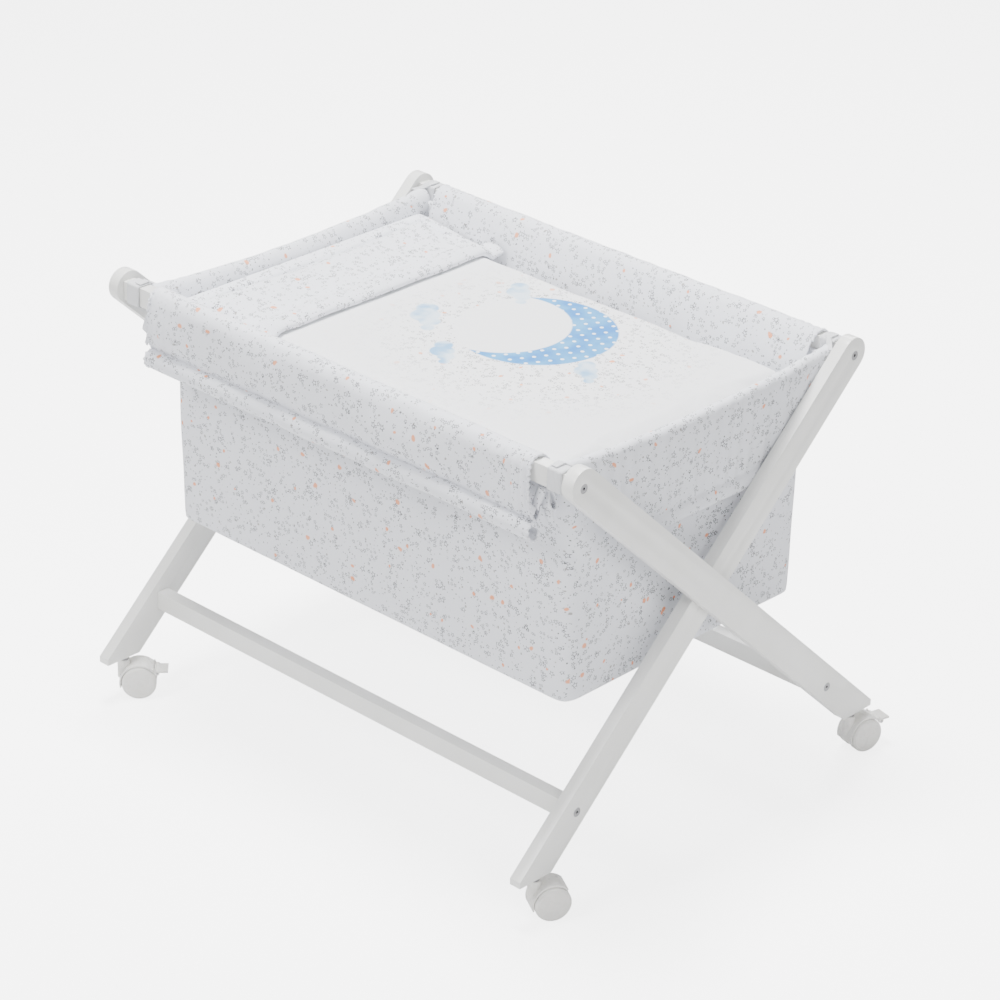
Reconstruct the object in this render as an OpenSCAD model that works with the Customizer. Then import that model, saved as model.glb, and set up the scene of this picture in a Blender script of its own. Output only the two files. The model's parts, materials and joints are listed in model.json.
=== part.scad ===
// Folding cross-frame cradle with a hung cloth bed, on twin-wheel casters.
// X runs from the head end (-) to the foot end (+), Y from the front (-) to the back (+).
// The origin is on the floor, under the middle of the cradle.

/* [Frame] */
// Length of the cradle over the outer legs
frame_len = 860; // [700:1:1100]
// Height of the leg pivot above the floor
pivot_h = 364; // [320:1:450]
// Lean of each leg from the vertical, with the frame open
leg_lean = 47; // [40:0.5:50]
// Leg from its pivot to its top bolt
arm_up = 374; // [340:1:460]
// Leg from its pivot down to its low bolt
arm_down = 336; // [300:1:345]
// Width of a leg
leg_w = 47; // [40:1:56]
// Thickness of a leg
leg_t = 18; // [17:0.5:25]
// Gap between the two legs at a pivot, filled by a washer
leg_gap = 1; // [0.5:0.1:3]
// Length that the leg's sharp toe is trimmed by
toe_trim = 10; // [4:1:16]

/* [Rails] */
// Height of a rail
rail_h = 27; // [24:1:36]
// Thickness of a rail
rail_t = 19; // [18:0.5:26]
// Offset of the rail bolts below the middle of the leg
bolt_drop = 3; // [0:0.5:5]

/* [Fasteners] */
// Radius of a connector bolt's shank
bolt_r = 3; // [2.5:0.1:3.5]
// Radius of a connector bolt's head
bolt_head_r = 6.5; // [5:0.1:7]
// Thickness of a connector bolt's head
bolt_head_t = 3; // [2:0.1:4]
// Length of a bolt inside the rail
bolt_reach = 38; // [30:1:50]
// Radius of a barrel nut
barrel_r = 5; // [4.5:0.1:6]
// Radius of the pivot bolt's shank
pivot_r = 4; // [3:0.1:5]
// Radius of the pivot bolt's head
pivot_head_r = 8; // [6:0.1:10]
// Thickness of the pivot bolt's head
pivot_head_t = 3; // [2:0.1:4]
// Outer radius of the pivot washer
washer_r = 10; // [9:0.5:14]
// Outer radius of the threaded insert for the pivot bolt
insert_r = 6; // [5.5:0.1:8]
// Running clearance round a pin that turns
run_clear = 0.05; // [0.02:0.01:0.1]

/* [Casters] */
// Height of the leg's foot above the floor
foot_h = 62; // [61:1:80]
// Radius of a caster wheel
wheel_r = 25; // [22:0.5:25]
// Width of a caster wheel
wheel_w = 15; // [12:0.5:18]
// Offset of the axle behind the stem
trail = 22; // [18:0.5:26]
// Thickness of the web between the wheels
web_t = 7; // [6:0.5:10]
// Gap beside each wheel
wheel_gap = 0.7; // [0.4:0.1:1.2]
// Thickness of the hood
hood_t = 2.2; // [1.6:0.1:3]
// Gap between a wheel and its hood
hood_gap = 1.1; // [0.8:0.1:2]
// Radius of the stem
stem_r = 4; // [3:0.1:4.5]
// Length of the stem inside the leg
stem_len = 25; // [18:1:28]
// Radius of the wheel axle
axle_r = 3; // [2:0.1:4]
// Distance of the stem from the middle of the leg's foot, towards the pivot
stem_shift = 12; // [6:1:16]
// Heading of each caster, in degrees from +X: foot front
head_ff = 60; // [0:1:360]
// Foot back
head_fb = 76; // [0:1:360]
// Head front
head_hf = 46; // [0:1:360]
// Head back
head_hb = 125; // [0:1:360]

/* [Brake levers] */
// Radius of the lever's hub
hub_r = 3.2; // [2.8:0.1:4]
// Radius of the lever's pin
pin_r = 1.25; // [1:0.05:1.6]
// Width of the lever
lever_w = 24; // [18:1:26]
// Length of the lever's tab
lever_len = 12; // [8:1:18]
// Thickness of the lever's tab
lever_t = 3; // [2:0.1:4]
// Thickness of the ears that hold the pin
ear_t = 2.4; // [2:0.1:3]

/* [Cloth bed] */
// Thickness of the padded walls of the bed
wall_t = 8; // [5:0.5:12]
// Thickness of the cloth floor
floor_t = 3; // [2:0.5:5]
// Depth of the bed's underside below the rail bolts
bed_deep = 356; // [300:1:390]
// Height of the top of the bed's walls above the rail bolts
bed_rise = 3; // [0:0.5:9]
// Depth below the rail bolts at which the walls start to flare towards the rails
flare_deep = 117; // [80:1:170]
// Depth below the rail bolts at which the walls have met the rails
flare_end = 17; // [8:1:40]
// Outward lean of the walls below the flare
bed_taper = 4; // [0:0.5:8]
// Half the difference between the bed's width at the rails and at the floor
flare_y = 34; // [20:1:50]
// Gap between the bed and the inner legs
bed_gap_x = 9; // [8.5:0.5:14]
// Corner radius of the bed
bed_r = 24; // [14:1:40]
// Gap between soft pieces that lie together
soft_gap = 1; // [0.5:0.1:2]
// Thickness of the base board
board_t = 6; // [4:0.5:10]
// Thickness of the mattress
mattress_t = 110; // [60:5:120]
// Depth of the quilt's upper side below the rail bolts
quilt_deep = 27; // [15:1:60]
// Thickness of the quilt's upper part
quilt_t = 38; // [20:1:50]
// Thickness of the quilt's tucked sides
tuck_t = 14; // [8:1:20]
// Depth that the quilt's sides are tucked down beside the mattress
tuck_deep = 60; // [20:5:90]
// Length of the quilt's turned-down top
turn_len = 170; // [120:1:240]
// Thickness of the turned-down top
turn_t = 7; // [4:0.5:10]
// Width of its padded edge
turn_edge = 30; // [15:1:40]

/* [Flaps and tapes] */
// Drop of the side flaps below the rail bolts
side_drop = 91; // [60:1:140]
// Drop of the end flaps below the rail bolts
end_drop = 141; // [80:1:170]
// Thickness of a flap
flap_t = 3; // [2:0.5:4]
// Height of a flap's padded hem
hem_h = 24; // [15:1:35]
// Thickness of a side flap's hem
hem_t = 9; // [6:0.5:12]
// Thickness of an end flap's hem
end_hem_t = 5; // [4:0.5:6]
// Bare length of rail between a side flap and the outer leg
bare_rail = 60; // [50:1:90]
// Width of a webbing strap
strap_w = 24; // [15:1:25]
// Thickness of a webbing strap
strap_t = 1.8; // [1:0.1:2.5]
// Gap between a strap and the end of its rail
strap_gap = 9; // [4:1:18]
// Length of a tie bow
bow_len = 58; // [40:1:80]
// Width of a tie bow
bow_w = 20; // [12:1:26]

/* [Hidden] */
$fn = 64;
wood_white = [0.93, 0.93, 0.91];
plastic_white = [0.95, 0.95, 0.93];
cloth_white = [0.93, 0.94, 0.96];
steel = [0.62, 0.62, 0.62];
brass = [0.75, 0.62, 0.35];
eps = 0.01;
fit_gap = 0.1;
nut_roof = 5;
strap_room = 0.6;

// frame layout
outer_in = frame_len / 2 - leg_t;
inner_out = outer_in - leg_gap;
inner_in = inner_out - leg_t;
bolt_y = arm_up * sin(leg_lean) + bolt_drop * cos(leg_lean);
bolt_z = pivot_h + arm_up * cos(leg_lean) - bolt_drop * sin(leg_lean);
low_y = arm_down * sin(leg_lean) - bolt_drop * cos(leg_lean);
low_z = pivot_h - arm_down * cos(leg_lean) - bolt_drop * sin(leg_lean);
foot_y = (pivot_h - foot_h) * tan(leg_lean);
foot_half = leg_w / 2 / cos(leg_lean);
stem_y = foot_y - stem_shift;
leg_tail = (pivot_h - foot_h) / cos(leg_lean) + leg_w;
head_sink = bolt_head_t + 0.3;
socket_r = stem_r + 1.6;
flange_r = 8;
flange_t = 1.6;
insert_len = leg_t - 4;

// caster layout
hood_in = wheel_r + hood_gap;
hood_out = hood_in + hood_t;
wheel_in = web_t / 2 + wheel_gap;
wheel_out = wheel_in + wheel_w;
hood_half = wheel_out - 3;
collar_top = foot_h - flange_t - 0.4;
pin_reach = hood_out + 1.8;
pin_turn = 30;
pin_x = trail + pin_reach * cos(pin_turn);
pin_z = wheel_r + pin_reach * sin(pin_turn);
lobe_r = 1.4;
lobe_reach = 3;

// cloth layout
rail_in_y = bolt_y - rail_t / 2;
rail_out_y = bolt_y + rail_t / 2;
rail_top = bolt_z + rail_h / 2;
bed_hx = inner_in - bed_gap_x;
bed_hy = rail_in_y - strap_t - strap_room;
low_hx = bed_hx - flare_y / 4 - bed_taper;
low_hy = bed_hy - flare_y;
bed_low = bolt_z - bed_deep;
bed_top = bolt_z + bed_rise;
flare_low = bolt_z - flare_deep;
flare_high = bolt_z - flare_end;
quilt_top = bolt_z - quilt_deep;
inside_low = bed_low + floor_t;
mattress_low = inside_low + board_t + soft_gap;
mattress_top = mattress_low + mattress_t;
cushion_hx = low_hx - wall_t - soft_gap;
cushion_hy = low_hy - wall_t - soft_gap;
mattress_inset = tuck_t + soft_gap;
seam_x = (low_hx + bed_hx) / 2 - (low_hy + bed_hy) / 2;
seam_reach = 2 * bed_hy;
flap_x = outer_in - bare_rail;
flap_low = bolt_z - side_drop;
end_low = bolt_z - end_drop;
flap_top = rail_top + 1.5;

// ---------- shapes used more than once ----------

// a shape and its mirror image across the middle of the cradle's length
module both_ends() {
    children();
    mirror([1, 0, 0]) children();
}

// a bar across the cradle, centred on its own length
module bar_x(len, depth, height, y, z) {
    translate([-len / 2, y - depth / 2, z - height / 2]) cube([len, depth, height]);
}

// a rod along +X
module rod_x(r, len) {
    rotate([0, 90, 0]) cylinder(r = r, h = len);
}

module rounded_rect(hx, hy, r) {
    square([2 * hx, 2 * (hy - r)], center = true);
    square([2 * (hx - r), 2 * hy], center = true);
    for (sx = [-1, 1], sy = [-1, 1]) translate([sx * (hx - r), sy * (hy - r)]) circle(r);
}

module rounded_slab(hx, hy, r, low, high) {
    translate([0, 0, low]) linear_extrude(high - low) rounded_rect(hx, hy, r);
}

// four thin discs at the corners of a level of the bed, for hull()
module corner_discs(hx, hy, r, z) {
    for (sx = [-1, 1], sy = [-1, 1])
        translate([sx * (hx - r), sy * (hy - r), z]) cylinder(r = r, h = eps, $fn = 32);
}

// ---------- frame ----------

// side outline of a leg whose top leans to -Y
module leg_outline() {
    difference() {
        translate([0, pivot_h]) rotate(leg_lean) {
            translate([-leg_w / 2, -leg_tail]) square([leg_w, leg_tail + arm_up]);
            translate([0, arm_up]) circle(leg_w / 2);
        }
        translate([0, foot_h - 2 * leg_w]) square([4 * foot_y, 4 * leg_w], center = true);
        translate([foot_y + foot_half - toe_trim, 0]) square([leg_w * 2, pivot_h]);
    }
}

// the leg as a board from x = 0 to x = leg_t
module leg_board() {
    rotate([90, 0, 90]) linear_extrude(leg_t) leg_outline();
}

// connector bolt holes of a leg, with the heads' seats on its outer side
module leg_bolt_holes() {
    for (at = [[-bolt_y, bolt_z], [low_y, low_z]]) translate([0, at[0], at[1]]) {
        translate([-1, 0, 0]) rod_x(bolt_r + fit_gap, leg_t + 2);
        translate([leg_t - head_sink, 0, 0]) rod_x(bolt_head_r + fit_gap, head_sink + 1);
    }
}

// hole for the caster socket, up into the foot
module socket_hole(y) {
    translate([leg_t / 2, y, foot_h - 1]) cylinder(r = socket_r, h = stem_len + 3);
}

// outer leg of the foot end
module outer_leg() {
    translate([outer_in, 0, 0]) difference() {
        leg_board();
        leg_bolt_holes();
        socket_hole(stem_y);
        translate([-1, 0, pivot_h]) rod_x(insert_r, insert_len + 1);
    }
}

// inner leg of the foot end, its top leaning to +Y
module inner_leg() {
    translate([inner_in, 0, 0]) mirror([0, 1, 0]) difference() {
        leg_board();
        leg_bolt_holes();
        socket_hole(stem_y);
        translate([-1, 0, pivot_h]) rod_x(pivot_r + run_clear, leg_t + 2);
    }
}

// a rail drilled at both ends for its bolts and, from below, for its barrel nuts
module drilled_rail(len, y, z) {
    difference() {
        bar_x(len, rail_t, rail_h, y, z);
        both_ends() translate([len / 2 - bolt_reach - 2, y, z]) rod_x(bolt_r + fit_gap, bolt_reach + 3);
        both_ends() translate([len / 2 - bolt_reach + 8, y, z - rail_h / 2 - 1])
            cylinder(r = barrel_r, h = rail_h - nut_roof + 1);
    }
}

// socket-head connector bolts at both ends of a frame
module frame_bolts(face_x, spots) {
    both_ends() for (at = spots) translate([face_x, at[0], at[1]]) difference() {
        union() {
            translate([-head_sink, 0, 0]) rod_x(bolt_head_r, bolt_head_t);
            translate([-leg_t - bolt_reach, 0, 0]) rod_x(bolt_r, leg_t + bolt_reach - head_sink + eps);
        }
        translate([-head_sink + 0.8, 0, 0]) rotate([0, 90, 0]) cylinder(r = 2.3, h = bolt_head_t, $fn = 6);
    }
}

// barrel nuts that the connector bolts screw into
module frame_nuts(rail_end, spots) {
    both_ends() for (at = spots) translate([rail_end - bolt_reach + 8, at[0], at[1]]) difference() {
        translate([0, 0, -rail_h / 2 + 2]) cylinder(r = barrel_r, h = rail_h - nut_roof - 2);
        translate([-2 * barrel_r, 0, 0]) rod_x(bolt_r, 4 * barrel_r);
    }
}

// socket sleeves for the caster stems
module stem_sockets(x, y) {
    both_ends() translate([x, y, 0]) difference() {
        union() {
            translate([0, 0, foot_h - flange_t]) cylinder(r = flange_r, h = flange_t);
            translate([0, 0, foot_h - eps]) cylinder(r = socket_r, h = stem_len + 2 + eps);
        }
        translate([0, 0, foot_h - flange_t - 1]) cylinder(r = stem_r + run_clear, h = stem_len + flange_t + 1.5);
    }
}

module outer_leg_head() { color(wood_white) mirror([1, 0, 0]) outer_leg(); }
module outer_leg_foot() { color(wood_white) outer_leg(); }
module inner_leg_head() { color(wood_white) mirror([1, 0, 0]) inner_leg(); }
module inner_leg_foot() { color(wood_white) inner_leg(); }
module rail_front() { color(wood_white) drilled_rail(2 * outer_in, -bolt_y, bolt_z); }
module rail_back() { color(wood_white) drilled_rail(2 * inner_in, bolt_y, bolt_z); }
module stretcher_back() { color(wood_white) drilled_rail(2 * outer_in, low_y, low_z); }
module stretcher_front() { color(wood_white) drilled_rail(2 * inner_in, -low_y, low_z); }

module outer_bolts() { color(steel) frame_bolts(frame_len / 2, [[-bolt_y, bolt_z], [low_y, low_z]]); }
module inner_bolts() { color(steel) frame_bolts(inner_out, [[bolt_y, bolt_z], [-low_y, low_z]]); }
module outer_barrel_nuts() { color(steel) frame_nuts(outer_in, [[-bolt_y, bolt_z], [low_y, low_z]]); }
module inner_barrel_nuts() { color(steel) frame_nuts(inner_in, [[bolt_y, bolt_z], [-low_y, low_z]]); }
module outer_sockets() { color(plastic_white) stem_sockets(outer_in + leg_t / 2, stem_y); }
module inner_sockets() { color(plastic_white) stem_sockets(inner_in + leg_t / 2, -stem_y); }

// pivot bolts, put in from the inner side of the inner legs
module pivot_bolts() {
    color(steel) both_ends() translate([inner_in, 0, pivot_h]) difference() {
        union() {
            translate([-pivot_head_t - 0.2, 0, 0]) rod_x(pivot_head_r, pivot_head_t);
            translate([-0.2 - eps, 0, 0]) rod_x(pivot_r, leg_t + leg_gap + insert_len - 1);
        }
        translate([-pivot_head_t - 1, 0, 0]) rotate([0, 90, 0]) cylinder(r = 2.9, h = 3, $fn = 6);
    }
}

module pivot_washers() {
    color(steel) both_ends() translate([inner_out + 0.1, 0, pivot_h]) difference() {
        rod_x(washer_r, leg_gap - 0.1);
        translate([-1, 0, 0]) rod_x(pivot_r + run_clear, leg_gap + 2);
    }
}

module pivot_inserts() {
    color(brass) both_ends() translate([outer_in, 0, pivot_h]) difference() {
        rod_x(insert_r, insert_len);
        translate([-1, 0, 0]) rod_x(pivot_r, insert_len);
    }
}

// ---------- casters ----------

// puts a caster made at the origin under its leg, turned to its heading
module at_caster(x, y, heading) {
    translate([x, y, 0]) rotate(heading) children();
}

// a rod along Y, centred, at the wheel axle
module axle_rod(r, half, x = trail, z = wheel_r) {
    translate([x, half, z]) rotate([90, 0, 0]) cylinder(r = r, h = 2 * half);
}

// side outline of the space that a hood spares: from the front lip over the top to the brake
module hood_window() {
    translate([trail, wheel_r]) polygon([[0, 0], [-2 * hood_out, -0.55 * hood_out],
        [-2 * hood_out, 2 * hood_out], [2 * hood_out, 2 * hood_out],
        [2 * hood_out * cos(pin_turn + 14), 2 * hood_out * sin(pin_turn + 14)]]);
}

module caster_hood(braked) {
    color(plastic_white) difference() {
        union() {
            intersection() {
                difference() {
                    axle_rod(hood_out, hood_half);
                    axle_rod(hood_in, hood_half + 1);
                }
                translate([0, hood_half, 0]) rotate([90, 0, 0]) linear_extrude(2 * hood_half) hood_window();
            }
            axle_rod(wheel_r - 4, web_t / 2);
            intersection() {
                axle_rod(hood_in + eps, web_t / 2);
                translate([0, web_t, 0]) rotate([90, 0, 0]) linear_extrude(2 * web_t) hood_window();
            }
            difference() {
                translate([0, 0, wheel_r + 4]) cylinder(r = 9, h = collar_top - 3 - wheel_r - 4);
                for (side = [-1, 1]) translate([trail, side * (web_t / 2 + hood_half), wheel_r])
                    rotate([90, 0, 0]) cylinder(r = hood_in, h = 2 * hood_half, center = true);
            }
            if (braked) for (side = [-1, 1]) brake_ear(side);
        }
        translate([0, 0, wheel_r + 10]) cylinder(r = stem_r, h = foot_h);
        axle_rod(axle_r, web_t);
        axle_rod(pin_r, lever_w, pin_x, pin_z);
    }
}

// one ear of the brake lever, from the hood's end to the pin
module brake_ear(side) {
    ear_in = lever_w / 2 + 0.3;
    translate([0, side > 0 ? ear_in + ear_t : -ear_in, 0]) rotate([90, 0, 0]) linear_extrude(ear_t)
        difference() {
            union() {
                translate([pin_x, pin_z]) circle(hub_r);
                translate([trail, wheel_r]) rotate(pin_turn) translate([hood_in, 0])
                    square([pin_reach - hood_in, 9]);
            }
            translate([trail, wheel_r]) circle(hood_in);
        }
}

module caster_stem() {
    color(steel) {
        translate([0, 0, wheel_r + 10]) cylinder(r = stem_r, h = foot_h + stem_len - wheel_r - 10);
        translate([0, 0, collar_top - 3]) cylinder(r = 7, h = 3);
    }
}

module caster_axle() {
    color(steel) axle_rod(axle_r, wheel_out - 3);
}

// a wheel on the +Y side, with a dished cap turned into its outer face
module caster_wheel() {
    color(plastic_white) translate([trail, wheel_in, wheel_r]) rotate([-90, 0, 0]) rotate_extrude()
        polygon([[axle_r + run_clear, 0], [wheel_r - 2, 0], [wheel_r, 2], [wheel_r, wheel_w - 3],
            [wheel_r - 1.2, wheel_w - 1], [wheel_r - 2.4, wheel_w - 1], [wheel_r - 3, wheel_w - 0.2],
            [wheel_r - 7, wheel_w], [0, wheel_w], [0, wheel_w - 2.5], [axle_r + run_clear, wheel_w - 2.5]]);
}

module brake_lever() {
    color(plastic_white) translate([pin_x, lever_w / 2, pin_z]) rotate([90, 0, 0]) linear_extrude(lever_w)
        difference() {
            union() {
                circle(hub_r);
                rotate(180 + pin_turn - 45) translate([lobe_reach, 0]) circle(lobe_r);
                translate([1.8, 1 - lever_t / 2]) square([hub_r + lever_len - 1.8, lever_t]);
            }
            circle(pin_r + run_clear);
        }
}

module lever_pin() {
    color(steel) axle_rod(pin_r, lever_w / 2 + 0.3 + ear_t, pin_x, pin_z);
}

module at_foot_front() { at_caster(inner_in + leg_t / 2, -stem_y, head_ff) children(); }
module at_foot_back() { at_caster(outer_in + leg_t / 2, stem_y, head_fb) children(); }
module at_head_front() { at_caster(-inner_in - leg_t / 2, -stem_y, head_hf) children(); }
module at_head_back() { at_caster(-outer_in - leg_t / 2, stem_y, head_hb) children(); }

module hood_foot_front() { at_foot_front() caster_hood(false); }
module stem_foot_front() { at_foot_front() caster_stem(); }
module axle_foot_front() { at_foot_front() caster_axle(); }
module wheel_foot_front_l() { at_foot_front() caster_wheel(); }
module wheel_foot_front_r() { at_foot_front() mirror([0, 1, 0]) caster_wheel(); }

module hood_foot_back() { at_foot_back() caster_hood(true); }
module stem_foot_back() { at_foot_back() caster_stem(); }
module axle_foot_back() { at_foot_back() caster_axle(); }
module wheel_foot_back_l() { at_foot_back() caster_wheel(); }
module wheel_foot_back_r() { at_foot_back() mirror([0, 1, 0]) caster_wheel(); }
module lever_foot_back() { at_foot_back() brake_lever(); }
module lever_pin_foot_back() { at_foot_back() lever_pin(); }

module hood_head_front() { at_head_front() caster_hood(true); }
module stem_head_front() { at_head_front() caster_stem(); }
module axle_head_front() { at_head_front() caster_axle(); }
module wheel_head_front_l() { at_head_front() caster_wheel(); }
module wheel_head_front_r() { at_head_front() mirror([0, 1, 0]) caster_wheel(); }
module lever_head_front() { at_head_front() brake_lever(); }
module lever_pin_head_front() { at_head_front() lever_pin(); }

module hood_head_back() { at_head_back() caster_hood(false); }
module stem_head_back() { at_head_back() caster_stem(); }
module axle_head_back() { at_head_back() caster_axle(); }
module wheel_head_back_l() { at_head_back() caster_wheel(); }
module wheel_head_back_r() { at_head_back() mirror([0, 1, 0]) caster_wheel(); }

// ---------- cloth bed ----------

// the bed's outer form, drawn in by inset, from one height to another
module bed_form(inset, low, high) {
    mid_hx = low_hx + bed_taper - inset;
    mid_hy = low_hy + bed_taper - inset;
    r = bed_r - inset;
    hull() {
        corner_discs(low_hx - inset, low_hy - inset, r, low);
        corner_discs(mid_hx, mid_hy, r, flare_low);
    }
    hull() {
        corner_discs(mid_hx, mid_hy, r, flare_low);
        corner_discs(bed_hx - inset, bed_hy - inset, r, flare_high);
    }
    rounded_slab(bed_hx - inset, bed_hy - inset, r, flare_high, high);
}

module bag_floor() {
    color(cloth_white) rounded_slab(low_hx, low_hy, bed_r, bed_low, inside_low);
}

// the part of the bed's padded walls that stands over a plan outline
module wall_panel(outline) {
    color(cloth_white) intersection() {
        difference() {
            bed_form(0, inside_low, bed_top);
            bed_form(wall_t, inside_low - 1, bed_top + 1);
        }
        translate([0, 0, bed_low]) linear_extrude(bed_top) polygon(outline);
    }
}

// side wall between the seams at its two corners, towards -Y
module side_wall() {
    wall_panel([[-seam_x, 0], [seam_x, 0], [seam_x + seam_reach, -seam_reach], [-seam_x - seam_reach, -seam_reach]]);
}

// end wall between the seams at its two corners, towards +X
module end_wall() {
    wall_panel([[seam_x, 0], [seam_x + seam_reach, -seam_reach], [seam_x + seam_reach, seam_reach]]);
}

module bag_front() { side_wall(); }
module bag_back() { mirror([0, 1, 0]) side_wall(); }
module bag_foot() { end_wall(); }
module bag_head() { mirror([1, 0, 0]) end_wall(); }

module base_board() {
    color([0.8, 0.68, 0.5]) rounded_slab(cushion_hx, cushion_hy, bed_r - wall_t, inside_low, inside_low + board_t);
}

module mattress() {
    hx = cushion_hx - mattress_inset;
    hy = cushion_hy - mattress_inset;
    color("white") rounded_slab(hx, hy, bed_r - wall_t, mattress_low, mattress_top);
}

// the quilt's padded top, with its sides tucked down between the mattress and the walls
module quilt() {
    quilt_low = quilt_top - quilt_t;
    tuck_low = mattress_top - tuck_deep;
    color("white") {
        rounded_slab(cushion_hx, cushion_hy + flare_y / 2, bed_r - wall_t, quilt_low, quilt_top);
        difference() {
            rounded_slab(cushion_hx, cushion_hy, bed_r - wall_t, tuck_low, quilt_low + eps);
            translate([0, 0, tuck_low - 1]) linear_extrude(quilt_low - tuck_low + 1)
                square([2 * (cushion_hx - tuck_t), 2 * (cushion_hy - tuck_t)], center = true);
        }
    }
}

// the top edge of the quilt's cover, folded back over it at the head end
module quilt_turndown() {
    turn_hy = cushion_hy + flare_y / 2;
    color(cloth_white) {
        translate([-cushion_hx, -turn_hy, quilt_top]) cube([turn_len, 2 * turn_hy, turn_t]);
        translate([-cushion_hx + turn_len - turn_edge, -turn_hy, quilt_top])
            cube([turn_edge, 2 * turn_hy, 2 * turn_t]);
    }
}

// flap over the front rail: lip inside, across the rail, down outside, padded hem
module side_flap() {
    color(cloth_white) {
        translate([-flap_x, -rail_out_y - 2 - flap_t, flap_low]) cube([2 * flap_x, flap_t, flap_top - flap_low + eps]);
        translate([-flap_x, -rail_out_y - 2 - flap_t, flap_top])
            cube([2 * flap_x, rail_out_y + 2 + flap_t - bed_hy + wall_t, flap_t]);
        translate([-flap_x, -bed_hy, bed_top + 0.3]) cube([2 * flap_x, wall_t, flap_top - bed_top]);
        translate([-flap_x, -rail_out_y - 2 - (flap_t + hem_t) / 2, flap_low]) cube([2 * flap_x, hem_t, hem_h]);
    }
}

// flap over the foot wall of the bed
module end_flap() {
    flap_hy = bed_hy - bed_r / 2;
    color(cloth_white) {
        translate([bed_hx + soft_gap, -flap_hy, end_low]) cube([flap_t, 2 * flap_hy, bed_top + flap_t - end_low]);
        translate([bed_hx - wall_t, -flap_hy, bed_top + 0.3]) cube([wall_t + soft_gap + flap_t, 2 * flap_hy, flap_t - 0.3]);
        translate([bed_hx + soft_gap, -flap_hy, end_low]) cube([end_hem_t, 2 * flap_hy, hem_h]);
    }
}

module flap_front() { side_flap(); }
module flap_back() { mirror([0, 1, 0]) side_flap(); }
module flap_foot() { end_flap(); }
module flap_head() { mirror([1, 0, 0]) end_flap(); }

// webbing straps looped round a rail, one near each of its ends
module rail_straps(y, rail_end) {
    color(cloth_white) both_ends() translate([rail_end - strap_gap - strap_w, y, bolt_z]) rotate([90, 0, 90])
        linear_extrude(strap_w) difference() {
            square([rail_t + 2 * strap_t, rail_h + 2 * strap_t], center = true);
            square([rail_t, rail_h], center = true);
        }
}

// tie bows hanging under a rail, between the flap and the strap
module rail_ties(y) {
    bow_low = bolt_z - rail_h / 2 - 2 - bow_len;
    color(cloth_white) both_ends() translate([flap_x + 2, y - flap_t / 2, bow_low]) cube([bow_w, flap_t, bow_len]);
}

module straps_front() { rail_straps(-bolt_y, outer_in); }
module straps_back() { rail_straps(bolt_y, inner_in); }
module ties_front() { rail_ties(-bolt_y); }
module ties_back() { rail_ties(bolt_y); }

outer_leg_head();
outer_leg_foot();
rail_front();
stretcher_back();
outer_bolts();
outer_barrel_nuts();
outer_sockets();
pivot_bolts();
pivot_washers();
pivot_inserts();
inner_leg_head();
inner_leg_foot();
rail_back();
stretcher_front();
inner_bolts();
inner_barrel_nuts();
inner_sockets();
bag_floor();
bag_front();
bag_back();
bag_head();
bag_foot();
base_board();
mattress();
quilt();
quilt_turndown();
flap_front();
flap_back();
flap_head();
flap_foot();
straps_front();
straps_back();
ties_front();
ties_back();
hood_foot_front();
stem_foot_front();
axle_foot_front();
wheel_foot_front_l();
wheel_foot_front_r();
hood_foot_back();
stem_foot_back();
axle_foot_back();
wheel_foot_back_l();
wheel_foot_back_r();
lever_foot_back();
lever_pin_foot_back();
hood_head_front();
stem_head_front();
axle_head_front();
wheel_head_front_l();
wheel_head_front_r();
lever_head_front();
lever_pin_head_front();
hood_head_back();
stem_head_back();
axle_head_back();
wheel_head_back_l();
wheel_head_back_r();
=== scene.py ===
import json
import math

import bmesh
import bpy
from mathutils import Matrix, Vector, noise
from mathutils.bvhtree import BVHTree

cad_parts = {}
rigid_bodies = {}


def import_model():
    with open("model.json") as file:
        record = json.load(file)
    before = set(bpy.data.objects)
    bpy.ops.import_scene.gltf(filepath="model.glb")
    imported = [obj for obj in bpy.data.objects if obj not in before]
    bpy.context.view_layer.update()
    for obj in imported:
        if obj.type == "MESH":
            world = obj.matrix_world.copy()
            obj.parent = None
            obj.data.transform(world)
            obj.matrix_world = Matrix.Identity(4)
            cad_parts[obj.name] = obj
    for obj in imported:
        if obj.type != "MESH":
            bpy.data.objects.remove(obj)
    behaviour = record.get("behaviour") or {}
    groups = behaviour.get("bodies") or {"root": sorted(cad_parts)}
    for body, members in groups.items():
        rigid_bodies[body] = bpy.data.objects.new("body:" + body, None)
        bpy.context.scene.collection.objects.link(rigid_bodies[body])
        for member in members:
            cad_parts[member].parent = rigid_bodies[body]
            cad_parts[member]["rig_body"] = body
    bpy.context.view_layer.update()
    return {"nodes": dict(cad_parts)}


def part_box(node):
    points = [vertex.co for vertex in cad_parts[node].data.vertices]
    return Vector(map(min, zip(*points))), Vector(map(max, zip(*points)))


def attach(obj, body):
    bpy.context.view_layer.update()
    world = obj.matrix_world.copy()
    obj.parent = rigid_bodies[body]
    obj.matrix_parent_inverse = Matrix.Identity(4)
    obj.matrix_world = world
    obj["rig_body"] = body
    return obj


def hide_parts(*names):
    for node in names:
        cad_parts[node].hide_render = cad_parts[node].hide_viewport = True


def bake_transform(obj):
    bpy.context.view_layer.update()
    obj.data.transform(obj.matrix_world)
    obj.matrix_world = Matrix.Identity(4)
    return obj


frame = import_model()
nodes = frame["nodes"]

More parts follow.
